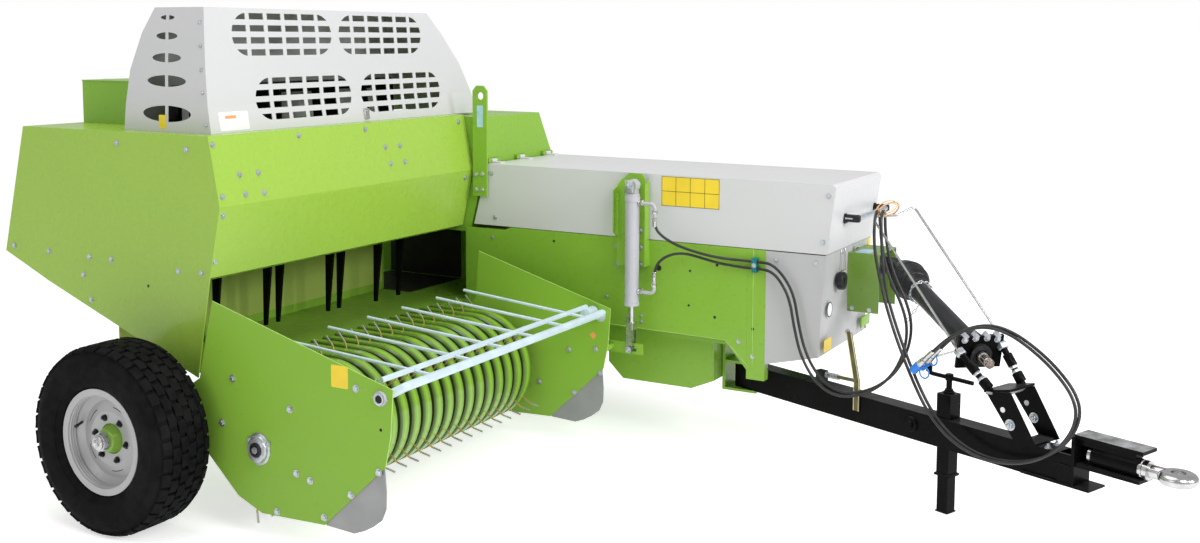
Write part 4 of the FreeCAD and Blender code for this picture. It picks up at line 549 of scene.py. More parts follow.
def wire(name, points, thickness, smooth=True, closed=False, sides=4):
    """A bent wire or bar along points, as a mesh."""
    alone(bent(name, points, thickness, smooth, closed, sides))
    bpy.ops.object.convert(target="MESH")
    return bpy.context.view_layer.objects.active


def helix(centre, axis, radius, length, turns, around):
    """Points of a spring's middle line."""
    axis = Vector(axis).normalized()
    side = axis.orthogonal().normalized()
    return [Vector(centre) + axis * (length * i / (turns * around))
            + polar(side, axis.cross(side), radius, 2 * math.pi * i / around)
            for i in range(int(turns * around) + 1)]


def joined(name, pieces):
    """Several pieces made one."""
    alone(*pieces)
    if len(pieces) > 1:
        bpy.ops.object.join()
    piece = bpy.context.view_layer.objects.active
    piece.name = name
    return piece


def stamped(name, pattern, places, keep=False):
    """Copies of a pattern, each moved by a matrix, joined."""
    made = []
    for place in places:
        piece = bpy.data.objects.new(name, pattern.data.copy())
        piece.data.transform(place)
        bpy.context.collection.objects.link(piece)
        made.append(piece)
    if not keep:
        bpy.data.objects.remove(pattern)
    return joined(name, made)


def copies(name, pattern, places, keep=False):
    """Copies of a pattern drawn at the origin along +Z, each at (point, direction, scale), joined."""
    return stamped(name, pattern, [
        Matrix.Translation(Vector(point)) @ facing(direction).to_matrix().to_4x4() @ Matrix.Scale(scale, 4)
        for point, direction, scale in places], keep)


def ringed(name, pattern, centre, axis, count, first=0):
    """Copies of a piece turned about an axis, evenly spaced."""
    return stamped(name, pattern, [
        Matrix.Translation(centre) @ Matrix.Rotation(first + 2 * math.pi * i / count, 4, Vector(axis))
        @ Matrix.Translation(-Vector(centre)) for i in range(count)])


def finished(piece, finish, body="frame", angle=35):
    """Shades a piece, gives it its finish and lets it ride on its body."""
    material, slot = FINISHES[finish]
    alone(piece)
    bpy.ops.object.shade_smooth_by_angle(angle=math.radians(angle))
    piece.data.materials.clear()
    piece.data.materials.append(material)
    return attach(piece, body)


def fitted(name, pieces, finish, body="frame", angle=35):
    """Joins pieces and finishes them."""
    return finished(joined(name, pieces), finish, body, angle)


def laid(piece, centre, out, up):
    """Moves a piece drawn round the origin, facing +Z with +Y up, to its place."""
    out = Vector(out).normalized()
    right = Vector(up).cross(out).normalized()
    piece.matrix_world = (Matrix.Translation(Vector(centre))
                          @ Matrix((right, out.cross(right), out)).transposed().to_4x4())
    alone(piece)
    bpy.ops.object.transform_apply(location=True, rotation=True, scale=True)
    return piece


def plate(name, centre, out, up, width, height, corner, thickness):
    """A thin blank plate with rounded corners on a face."""
    bpy.ops.object.select_all(action="DESELECT")
    bpy.ops.mesh.primitive_plane_add(size=1, location=(0, 0, 0))
    bpy.context.view_layer.objects.active.scale = (width, height, 1)
    piece = settle(name)
    work(piece, "VERT", everything, bevel(corner, 5, "VERTICES"))
    work(piece, "FACE", everything, extrude((0, 0, thickness)), face_outward)
    return laid(piece, centre, out, up)


def hex_bolt(head, grip=0):
    """A hexagon bolt's head on its washer, drawn at the origin along +Z."""
    parts = [drum("washer", (0, 0, 0), (0, 0, 0.0016), head * 1.35, 16),
             work(drum("cap", (0, 0, 0.0016), (0, 0, 0.0016 + head * 0.68), head, 6), "EDGE", everything,
                  bevel(head * 0.07, 1))]
    if grip:
        root = 0.0016 + head * 0.6
        parts.append(drum("thread", (0, 0, root), (0, 0, root + grip), head * 0.52, 12, 0.0008))
    return joined("hex_bolt", parts)


def bolted(name, head, grip, places, finish="bolt zinc", body="frame"):
    """A row of bolts with their threads, each at (point, direction, scale)."""
    return finished(copies(name, hex_bolt(head, grip), places), finish, body)


# ---------------------------------------------------------------- stage and camera

def seen_or_cast(look, seen, cast):
    """One strength for the studio as it is seen, another for the light that it casts."""
    return look.spread(look.add("LightPath").outputs["Is Camera Ray"], cast, seen, 0, 1)


class BALER_OT_stage(bpy.types.Operator):
    """Lay the pale floor, hang the soft studio lights and set the camera"""

    bl_idname = "baler.stage"
    bl_label = "Stage and camera"

    def execute(self, context):
        bpy.ops.object.select_all(action="DESELECT")
        bpy.ops.mesh.primitive_plane_add(size=60, location=(0, 0, 0))
        floor = settle("studio_floor")
        work(floor, "FACE", everything, lambda: bpy.ops.mesh.subdivide(number_cuts=3))
        paper = coated("studio_floor", (0.9, 0.9, 0.9), 0.75, tint=0.01, patch=0.4, shine=0.1)
        look = Graph(paper)
        look.surface({"Emission Color": (1, 1, 1), "Emission Strength": seen_or_cast(look, 0.55, 0.22)})
        floor.data.materials.append(paper)

        world = bpy.data.worlds.new("studio_light")
        look = Graph(world)
        look.shader = look.nodes["Background"]
        look.surface({"Color": (1, 1, 1), "Strength": seen_or_cast(look, 1, 0.5)})
        context.scene.world = world
        context.scene.view_settings.view_transform = "Standard"
        for name, place, target, span, watts in (
            ("key", (5.4, -3.4, 5.2), (0.2, 0, 0.7), 2.6, 150),
            ("front", (11, -0.4, 5), (-1, -0.4, 1), 3, 660),
            ("side", (-2.2, -7, 3.6), (0, 0, 0.8), 4, 45),
            ("top", (-0.8, -0.4, 6), (0, 0, 0.6), 5, 165),
        ):
            lamp = bpy.data.lights.new(name, "AREA")
            lamp.shape = "SQUARE"
            lamp.size, lamp.energy = span, watts
            light = bpy.data.objects.new(name, lamp)
            light.location = place
            light.rotation_euler = facing(Vector(place) - Vector(target)).to_euler()
            context.collection.objects.link(light)

        lens = bpy.data.cameras.new("camera")
        lens.lens, lens.sensor_width, lens.shift_y = 38.87, 36, -0.09
        lens.clip_start, lens.clip_end = 0.05, 200
        camera = bpy.data.objects.new("camera", lens)
        heading, dip, roll = (math.radians(angle) for angle in (29.22, 5.58, 0.253))
        aimed = Matrix.Rotation(heading, 3, "Z") @ Matrix.Rotation(math.pi / 2 - dip, 3, "X")
        camera.rotation_euler = (aimed @ Matrix.Rotation(roll, 3, "Z")).to_euler()
        camera.location = (2.8641, -4.8456, 1.9656)
        context.collection.objects.link(camera)
        context.scene.camera = camera
        return {"FINISHED"}


# ---------------------------------------------------------------- hoses

HOSE_RUNS = {
    # run of a hose: points of its middle line in the machine's axes, in millimetres
    "upper_start": mm(
        (1408, -122, 1124), (1408, -122, 1080), (1440, -100, 1035), (1510, -80, 997), (1605, -61, 969),
        (1700, -43, 952), (1800, -26, 947), (1845, -22, 946), (1905, -22, 946), (1965, -42, 945)),
    "lower_start": mm(
        (1408, -122, 831), (1408, -122, 872), (1424, -106, 922), (1474, -88, 955), (1535, -68, 964),
        (1605, -44, 946), (1697, -34, 925), (1800, -24, 915), (1845, -22, 914), (1905, -22, 914),
        (1960, -42, 912)),
    "rise": mm(
        (2027, -50, 895), (2075, -50, 815), (2097, -50, 694), (2130, -53, 572), (2190, -62, 475),
        (2270, -76, 420), (2365, -88, 412), (2475, -85, 455), (2560, -72, 535), (2605, -58, 645),
        (2612, -50, 750), (2582, -50, 848), (2532, -50, 942), (2502, -50, 1030), (2484, -50, 1135)),
    "over": mm((2482, -52, 1231), (2499, -168, 1231)),
    "loop": mm(
        (2505, -172, 1120), (2515, -178, 1020), (2530, -182, 920), (2563, -196, 825), (2616, -217, 700),
        (2697, -250, 545), (2775, -283, 430), (2880, -326, 350), (3012, -380, 315), (3168, -446, 340),
        (3290, -496, 412), (3360, -525, 505), (3384, -535, 592), (3358, -525, 668), (3280, -492, 745),
        (3200, -459, 798), (3112, -422, 840), (3021, -384, 853), (2936, -366, 832), (2866, -348, 785),
        (2818, -328, 733), (2782, -313, 693)),
}
HOSES = [
    # hose, first run, how far it lies beside the other hose on the later runs, length
    ("hose_upper", "upper_start", (0, 0, 0), (0, 0, 0), (0, 0, 0), 4.892),
    ("hose_lower", "lower_start", (-0.014, -0.018, -0.014), (-0.024, -0.004, 0),
     (-0.028, -0.016, -0.014), 4.909),
]
LOOP_CLOSENESS = 0.45                  # share of their distance that the hoses keep round the loop


def hose_points(first, beside_rise, beside_over, beside_loop):
    """A hose's route; round the loop the hoses lie together, and part again before their plugs."""
    points = [Vector(point) for point in HOSE_RUNS[first]]
    for run, beside in (("rise", beside_rise), ("over", beside_over), ("loop", beside_loop)):
        count = len(HOSE_RUNS[run])
        for i, point in enumerate(HOSE_RUNS[run]):
            apart = 1
            if run == "loop":
                apart = LOOP_CLOSENESS + (1 - LOOP_CLOSENESS) * max(0, 1 - i / 2, 1 - (count - 2 - i) / 3)
            points.append(Vector(point) + Vector(beside) * min(1, apart))
    return [ORIGIN + point for point in points]


class BALER_OT_hoses(bpy.types.Operator):
    """Run the two hydraulic hoses from the lift cylinder over their holder to the plugs"""

    bl_idname = "baler.hoses"
    bl_label = "Hydraulic hoses"

    def execute(self, context):
        sizes = context.scene.baler_sizes
        for name, *route, length in HOSES:
            points = hose_points(*route)
            hose = bent(name + "_rubber", points, sizes.hose_diameter, fine=5)
            material, slot = FINISHES["hose"]
            hose.data.materials.append(material)
            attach(hose, "frame")
            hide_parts(name)

            ferrules = []
            for end, ahead in ((points[0], points[1]), (points[-1], points[-2])):
                way = (ahead - end).normalized()
                ferrules.append(turned("ferrule", end, way, mm(
                    (-4, 6.8), (-4, 9.8), (2, 10.6), (8, 10), (10, 10.8), (18, 10.8), (20, 10), (28, 10.6),
                    (36, 10.2), (40, 9.2), (41, 6.8)), 20))
            crimps = fitted(name + "_crimps", ferrules, "bright steel")
        return {"FINISHED"}


# ---------------------------------------------------------------- tyres and wheels

TYRE_OUTLINE = mm(
    (94.5, 195.5), (94.5, 214.5), (107, 218.5), (116, 231), (120, 242), (121.5, 242), (127.5, 262),
    (131.5, 290), (131, 311), (128.5, 313.5), (127.5, 321), (121.5, 342), (112, 356), (98, 363.5),
    (75, 366.5), (35, 368))
TREAD_ROWS = [             # distance from the middle, lug width, top radius, lean, start in pitches
    (0.1005, 0.034, 0.3722, 24, 0), (0.0625, 0.036, 0.3775, 6, 0.5), (0.021, 0.037, 0.379, 0, 0)]
LUG_CIRCLE, LUG_SHARE = 0.372, 0.8      # radius the lugs are spaced on, share of a pitch that each fills
NUT_CIRCLE, VALVE_CIRCLE, SLIT_CIRCLE = 0.088, 0.165, 0.13


def tread_lug(width, length, depth, slant):
    """One tread block, pointed like a chevron, standing on the origin."""
    bpy.ops.object.select_all(action="DESELECT")
    bpy.ops.mesh.primitive_plane_add(size=1, location=(0, -length / 4, 0))
    bpy.context.view_layer.objects.active.scale = (width, length / 2, 1)
    lug = settle("lug")
    corners = lug.data.vertices
    far = {edge.index for edge in lug.data.edges if all(abs(corners[v].co.y) < 0.0001 for v in edge.vertices)}
    work(lug, "EDGE", lambda edge: edge.index in far,
         lambda: bpy.ops.transform.translate(value=(slant, 0, 0)), extrude((-slant, length / 2, 0)))
    work(lug, "FACE", everything, extrude((0, 0, depth)), face_outward)
    corners = lug.data.vertices
    crown = {edge.index for edge in lug.data.edges
             if all(corners[v].co.z > depth - 0.0001 for v in edge.vertices)
             and any(edge.key in face.edge_keys and face.normal.z < 0.5 for face in lug.data.polygons)}
    return work(lug, "EDGE", lambda edge: edge.index in crown, bevel(0.0022, 1))


class BALER_OT_tyres(bpy.types.Operator):
    """Mould the two tyres: carcass, sidewall rings and staggered tread"""

    bl_idname = "baler.tyres"
    bl_label = "Tyres"

    def execute(self, context):
        sizes = context.scene.baler_sizes
        for name, body in (("tyre_right", "wheel_right"), ("tyre_left", "wheel_left")):
            centre = middle_of(name)
            outline = TYRE_OUTLINE + [(-along, radius) for along, radius in reversed(TYRE_OUTLINE)]
            pieces = [turned("carcass", centre, Y, outline, 96)]
            pitch = 2 * math.pi / sizes.tyre_lugs
            length = pitch * LUG_CIRCLE * LUG_SHARE
            for row, (along, width, top, lean, start) in enumerate(TREAD_ROWS):
                for hand in (1, -1):
                    lug = tread_lug(width, length, sizes.lug_depth, 0.006 if row else 0.002)
                    out = polar(Z, Y * hand, 1, math.radians(lean))
                    foot = centre + Y * (hand * along) + Z * top - out * sizes.lug_depth
                    laid(lug, foot, out, X * hand)
                    pieces.append(ringed("lugs", lug, centre, Y, sizes.tyre_lugs,
                                         (start + (0.5 if hand < 0 else 0)) * pitch))
            tyre = fitted(name + "_moulded", pieces, "tyre", body, angle=30)
            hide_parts(name)
        return {"FINISHED"}


class BALER_OT_wheel_fittings(bpy.types.Operator):
    """Fit the hub caps, wheel nuts, valves, rim ridges and disc slits"""

    bl_idname = "baler.wheel_fittings"
    bl_label = "Wheel fittings"

    def execute(self, context):
        for name, body, outward in (("right", "wheel_right", -1), ("left", "wheel_left", 1)):
            centre = middle_of("tyre_" + name)
            axle = Y * outward

            def spot(along, radius, degrees):
                return centre + axle * along + polar(X, Z, radius, math.radians(degrees))

            cap = turned("cap", centre, axle, mm(
                (88, 30), (88, 37.5), (92.5, 38.5), (96.5, 37.5), (96.5, 34), (99.5, 34), (99.5, 35.5),
                (103, 35.5), (103, 32.5), (106, 32.5), (106, 34), (109, 34), (110, 30), (116, 29),
                (118.5, 25), (118.5, 0)), 48, closed=False)
            nut = drum("nut", centre + axle * 0.118, centre + axle * 0.127, 0.017, 6, 0.0012)
            tip = drum("tip", centre + axle * 0.126, centre + axle * 0.1305, 0.0105, 20, 0.0012)
            pin = wire("pin", [spot(0.1275, 0.019, 20), spot(0.1275, 0, 20), spot(0.1275, 0.019, 200)],
                       0.0032, False)
            fitted("hub_cap_" + name, [cap, nut, tip, pin], "bright steel", body)

            bolted("wheel_nuts_" + name, 0.0115, 0.007,
                   [(spot(0.049, NUT_CIRCLE, 112 + 60 * i), axle, 1) for i in range(6)], "dark steel", body)

            foot, neck = spot(0.06, VALVE_CIRCLE, 165), spot(0.092, VALVE_CIRCLE - 0.012, 165)
            valve = joined("valve_" + name, [
                drum("stem", foot - (neck - foot) * 0.4, neck, 0.0055, 16, 0.0008),
                drum("dust_cap", neck - (neck - foot) * 0.3, neck + (neck - foot) * 0.12, 0.0072, 12, 0.001)])
            finished(valve, "guard plastic", body)

            ridge = [(0.063, 0.1866), (0.063, 0.185)]
            for step in range(3):
                start = 0.066 + 0.011 * step
                ridge += [(start, 0.185), (start + 0.002, 0.1815), (start + 0.005, 0.1815),
                          (start + 0.008, 0.185)]
            ridge += [(0.0985, 0.185), (0.0985, 0.1866)]
            finished(turned("rim_ridges_" + name, centre, axle, ridge, 96), "wheel paint", body)

            # Dark strips on the wheel disc: painted shade in its slits.
            slits = [wire("slit",
                          [spot(0.0483, SLIT_CIRCLE, 140 + 72 * i + 3.5 * k) for k in range(-4, 5)], 0.003)
                     for i in range(5)]
            fitted("disc_slits_" + name, slits, "dark steel", body)
        return {"FINISHED"}


# ---------------------------------------------------------------- fasteners

def feeder_front(y, z):
    """A point on the front of the feeder housing, which leans two ways, and the way it faces."""
    if z < 1.283:
        x, out = 0.232 + 0.064 * (z - 0.992) / 0.291, Vector((0.291, 0, -0.064))
    else:
        x, out = 0.296 - 0.054 * (z - 1.283) / 0.278, Vector((0.278, 0, 0.054))
    return at(x, y, z), out.normalized()


COVER_LEVELS = mm(
    (1565.3, 170, -1668), (1675, 150, -1664), (1820, 138, -1660), (1975, 128, -1652), (2080, 118, -1642))


def cover_side(z, back):
    """A point on the slotted cover's right end, a distance behind its front edge."""
    for low, high in zip(COVER_LEVELS, COVER_LEVELS[1:]):
        if z <= high[0]:
            share = (z - low[0]) / (high[0] - low[0])
            return at(low[1] + (high[1] - low[1]) * share - back, low[2] + (high[2] - low[2]) * share, z)


HOOD_CORNERS = (415, 1270), (437, 1046), (2213, 1269), (2190, 1059)      # of either side of the hood
BOLTS = {
    # group: body, way the heads face, head size, places
    "end_panel_bolts": ("frame", -Y, 1, on_side(-1.76,
        (-278, 1516), (126, 1506), (-960, 1029), (-728, 1023), (-469, 1019), (-333, 1020), (63, 1007),
        (193, 1011), (-509, 938), (-465, 834))),
    "bracket_foot_bolts": ("frame", -Y, 1.2, on_side(PANEL_FACE, (1150, 956), (1150, 869))),
    "side_panel_bolts": ("frame", -Y, 0.85, on_side(PANEL_FACE,
        (1091, 702), (1860, 499), (2158, 963), (1971, 959), (1790, 560), (640, 560), (420, 940))),
    "bracket_bolts": ("frame", -Y, 0.95, on_side(-0.066, (1304, 1053), (1306, 971), (1306, 890))),
    "lift_panel_bolts": ("frame", -Y, 0.75, on_side(PANEL_FACE,
        (1208, 615), (1281, 626), (1208, 589), (1281, 597))),
    "clamp_bolt": ("frame", -Y, 0.85, on_side(-0.033, (1872, 930))),
    "shield_bolts": ("frame", -Y, 0.85, on_side(0.323, (2222, 706), (2305, 704))),
    "lug_bolts": ("frame", -Y, 1, on_side(-0.023, (333, 1261), (371, 1266), (334, 1184), (371, 1186))),
    "cover_front_bolts": ("frame", X, 0.8, on_front(COVER_FACE,
        (225, 981), (397, 978), (600, 560), (600, 930))),
    "hood_side_bolts": ("hood", -Y, 0.95, on_side(PANEL_FACE, *HOOD_CORNERS)),
    "hood_far_side_bolts": ("hood", Y, 0.95, on_side(FAR_FACE, *HOOD_CORNERS)),
    "far_panel_bolts": ("frame", Y, 0.85, on_side(FAR_FACE,
        (420, 940), (780, 940), (1150, 940), (1520, 940), (560, 420), (1100, 420), (1700, 560), (1971, 959),
        (2158, 963))),
    "pickup_right_bolts": ("pickup", -Y, 1.15, on_side(PICKUP_RIGHT,
        (431, 627), (726, 547), (370, 441), (754, 300), (822, 284), (1020, 264), (1153, 373), (652, 131),
        (888, 153), (1051, 673))),
    "pickup_left_bolts": ("pickup", -Y, 1.05, on_side(PICKUP_LEFT,
        (995, 468), (1141, 488), (827, 288), (1168, 376), (1026, 262))),
}
FEEDER_BOLTS = mm(
    (-1738, 1530), (-1620, 1401), (-1515, 1400), (-1731, 1323), (-1604, 1320), (-1499, 1317), (-671, 1446),
    (-563, 1445), (-652, 1367), (-543, 1367), (-795, 1536), (-1730, 1246), (-1743, 1058), (-60, 1246),
    (-60, 1530), (-1240, 1536))
HOLES = [                              # holes punched in upright faces: forward, across, up, radius
    (0.788, PANEL_FACE, 0.951, 0.006), (1.374, PANEL_FACE, 0.869, 0.013), (1.677, PANEL_FACE, 0.91, 0.006),
    (1.668, PANEL_FACE, 0.662, 0.006), (1.86, PANEL_FACE, 0.628, 0.006), (1.538, PANEL_FACE, 0.87, 0.005),
    (1.533, PANEL_FACE, 0.704, 0.005), (-0.116, -1.76, 0.928, 0.005)]


def punched_hole(place, out, radius):
    """A hole's mouth on a face, a shallow dish that is painted black as painted shade inside the hole."""
    return turned("punched_hole", place, out, [
        (0.001, 0), (0.0011, radius), (0.0008, radius + 0.0008), (0, radius + 0.0012)], 24, closed=False)


class BALER_OT_fasteners(bpy.types.Operator):
    """Put the washered bolts and the punched holes in every panel"""

    bl_idname = "baler.fasteners"
    bl_label = "Panel bolts"

    def execute(self, context):
        head = context.scene.baler_sizes.bolt_head
        pattern = hex_bolt(head)
        for name, (body, out, scale, places) in BOLTS.items():
            finished(copies(name, pattern, [(place, out, scale) for place in places], keep=True),
                     "bolt zinc", body)
        rows = [(*feeder_front(y, z), 1) for y, z in FEEDER_BOLTS]
        finished(copies("feeder_front_bolts", pattern, rows, keep=True), "bolt zinc")
        rows = [(cover_side(z, 0.022), -Y, 0.7) for z in (1.6, 1.731, 1.824, 1.922, 2.017)]
        finished(copies("slotted_cover_bolts", pattern, rows), "bolt zinc", "feeder_cover")

        # Painted shade: black dishes in the punched holes and the guide hole.
        fitted("punched_holes",
               [punched_hole(at(x, y, z), -Y, radius) for x, y, z, radius in HOLES], "deep black")
        fitted("guide_hole", [punched_hole(at(1.164, PICKUP_RIGHT, 0.534), -Y, 0.005)],
               "deep black", "pickup")
        return {"FINISHED"}


# ---------------------------------------------------------------- blank plates

GRID_X, GRID_Z, GRID_WIDTH, GRID_HEIGHT = 1.535, 1.241, 0.298, 0.14      # the hood's ruled plate
PLATES = [
    # name, body, finish, centre, way out, up, width, height
    ("pickup_plate_blank", "pickup", "yellow plate", at(0.973, PICKUP_RIGHT, 0.707), -Y, Z, 0.08, 0.085),
    ("pickup_diamond", "pickup", "orange plate", at(1.127, PICKUP_LEFT, 0.553), -Y, (1, 0, 1), 0.026, 0.026),
    ("hood_plate_blank", "hood", "yellow plate", at(GRID_X, PANEL_FACE, GRID_Z),
     -Y, Z, GRID_WIDTH, GRID_HEIGHT),
    ("cover_plate_low", "frame", "yellow plate", at(COVER_FACE, 0.056, 0.583), X, Z, 0.098, 0.056),
    ("cover_plate_high", "frame", "yellow plate", at(COVER_FACE, 0.636, 0.975), X, Z, 0.036, 0.038),
    ("shield_plate_blank", "frame", "sky plate", at(2.262, 0.395, 0.968), Z, X, 0.115, 0.07),
    ("lug_plate_blank", "frame", "sky plate", at(0.357, -0.023, 1.56), -Y, Z, 0.036, 0.11),
    ("slotted_cover_plate", "feeder_cover", "white plate", at(0.1612, -1.53, 1.612),
     (0.984, 0, 0.179), Z, 0.165, 0.078),
    ("slotted_cover_strip", "feeder_cover", "orange plate", at(0.1588, -1.548, 1.629),
     (0.984, 0, 0.179), Z, 0.06, 0.012),
    ("slotted_cover_tag", "feeder_cover", "yellow plate", at(-0.107, -1.6672, 1.606), -Y, Z, 0.042, 0.058),
]


class BALER_OT_plates(bpy.types.Operator):
    """Stick the blank plates on"""

    bl_idname = "baler.plates"
    bl_label = "Blank plates"

    def execute(self, context):
        grid = [block("line", at(GRID_X + x, -0.0062, GRID_Z), (0.0016, 0.0008, GRID_HEIGHT), edge=0)
                for x in (-0.148, -0.0745, 0, 0.0745, 0.148)]
        grid += [block("line", at(GRID_X, -0.0062, GRID_Z + z), (GRID_WIDTH, 0.0008, 0.0016), edge=0)
                 for z in (-0.069, 0, 0.069)]
        fitted("hood_plate_grid", grid, "deep black", "hood")
        for name, body, finish, centre, out, up, width, height in PLATES:
            thickness = 0.0016 if name == "slotted_cover_strip" else 0.0008
            finished(plate(name, centre, out, up, width, height, min(width, height) * 0.07, thickness),
                     finish, body)
        face = at(COVER_FACE, 0.073, 0.742)
        finished(turned("oval_plate_rim", face, X, mm(
            (0, 31), (1.4, 31), (1.4, 35.2), (0, 35.2)), 48), "deep black")
        finished(turned("oval_plate", face, X, mm(
            (0, 0), (0, 30.9), (0.8, 30.9), (1, 0)), 48, closed=False), "white plate")
        return {"FINISHED"}


# ---------------------------------------------------------------- covers

class BALER_OT_cover_fittings(bpy.types.Operator):
    """Fit the front cover's knob, catch and tab, the hood handle's feet and the slotted cover's latch"""

    bl_idname = "baler.cover_fittings"
    bl_label = "Cover fittings"

    def execute(self, context):
        knob_at = at(COVER_FACE, 0.176, 0.859)
        knob = turned("knob", knob_at, X, mm(
            (0, 0), (0, 32), (6, 41), (12, 43), (30, 42), (34.5, 38), (36, 24), (34.5, 19),
            (34.5, 0)), 12, closed=False)
        work(knob, "EDGE", lambda edge: abs(knob.data.vertices[edge.vertices[0]].co.x
                                            - knob.data.vertices[edge.vertices[1]].co.x) > 0.012,
             bevel(0.004))
        socket = block("socket", knob_at + X * 0.0355, (0.004, 0.016, 0.026), edge=0.0015)
        fitted("cover_knob", [knob, socket], "guard plastic")

        bail = [wire("bail", [at(2.2045, y, 0.896), at(2.2045, y, 0.992), at(2.2005, y, 0.9975)],
                     0.0045, False)
                for y in (0.209, 0.266)]
        bail.append(wire("bail", [at(2.2045, 0.209, 0.896), at(2.2045, 0.266, 0.896)], 0.0045, False))
        fitted("cover_catch", bail, "bright steel")

        tab = block("tab", at(2.2035, 0.59, 0.594), (0.006, 0.128, 0.05), edge=0.001)
        finished(tab, "green paint")

        feet = []
        for y in (0.178, 0.617):
            foot = block("foot", at(2.264, y, 1.15), (0.074, 0.029, 0.035), edge=0.01, steps=3)
            base = block("base", at(2.229, y, 1.148), (0.009, 0.036, 0.046), (0, math.radians(-7), 0), 0.003)
            feet += [foot, base]
        fitted("handle_feet", feet, "guard plastic", "hood")

        front, out = Vector(at(0.1628, -0.687, 1.6)), Vector((0.984, 0, 0.179)).normalized()
        catch = [block("catch", front + out * 0.006, (0.012, 0.03, 0.052), (0, math.radians(-10), 0), 0.003),
                 block("hook", front + out * 0.013 + Z * 0.012, (0.008, 0.018, 0.02),
                       (0, math.radians(-10), 0), 0.002)]
        fitted("cover_latch", catch, "bright steel", "feeder_cover")
        return {"FINISHED"}


# ---------------------------------------------------------------- lift cylinder

LIFT = Vector((1.29, -0.122))          # the lift cylinder, forward and across


class BALER_OT_cylinder_fittings(bpy.types.Operator):
    """Fit the lift cylinder's rings, its unions and its two pins"""

    bl_idname = "baler.cylinder_fittings"
    bl_label = "Lift cylinder"

    def execute(self, context):
        def on_axis(z, proud=0):
            return at(LIFT.x, LIFT.y - proud, z)

        rings = [
            turned("head_ring", on_axis(1.196), Z, mm(
                (0, 33.5), (1, 36.2), (4, 37), (22, 37), (26, 36.2), (27, 33.5)), 48),
            turned("gland_ring", on_axis(0.6995), Z, mm(
                (0, 18), (0, 34.5), (1.5, 36.2), (14, 36.2), (15.5, 33.5)), 48)]
        fitted("cylinder_rings", rings, "barrel grey")

        unions = []
        for z, way in ((1.19, -1), (0.769, 1)):
            unions.append(drum("boss", at(1.32, LIFT.y, z), at(1.334, LIFT.y, z), 0.0145, 24, 0.0015))
            unions.append(drum("nut", at(1.334, LIFT.y, z), at(1.35, LIFT.y, z), 0.015, 6, 0.0012))
            unions.append(drum("nut", at(1.408, LIFT.y, z + way * 0.03),
                               at(1.408, LIFT.y, z + way * 0.046), 0.0135, 6, 0.001))
        fitted("cylinder_unions", unions, "bright steel")

        top = [drum("pin_head", on_axis(1.272, 0.0375), on_axis(1.272, 0.049), 0.0125, 6, 0.0012),
               drum("pin_washer", on_axis(1.272, 0.035), on_axis(1.272, 0.038), 0.02, 28, 0.0008),
               block("clevis", on_axis(1.269, 0.0325), (0.046, 0.0054, 0.062), edge=0.0015),
               wire("split_pin", [at(LIFT.x + 0.014, LIFT.y - 0.048, 1.3),
                                  at(LIFT.x + 0.015, LIFT.y - 0.044, 1.285),
                                  at(LIFT.x + 0.012, LIFT.y - 0.044, 1.262)], 0.0035, False)]
        fitted("cylinder_top_pin", top, "bolt zinc")

        bolted("lift_rod_pin", 0.0125, 0.01, [(on_axis(0.492, 0.0325), -Y, 1)], body="lift_rod")
        return {"FINISHED"}


# ---------------------------------------------------------------- pickup

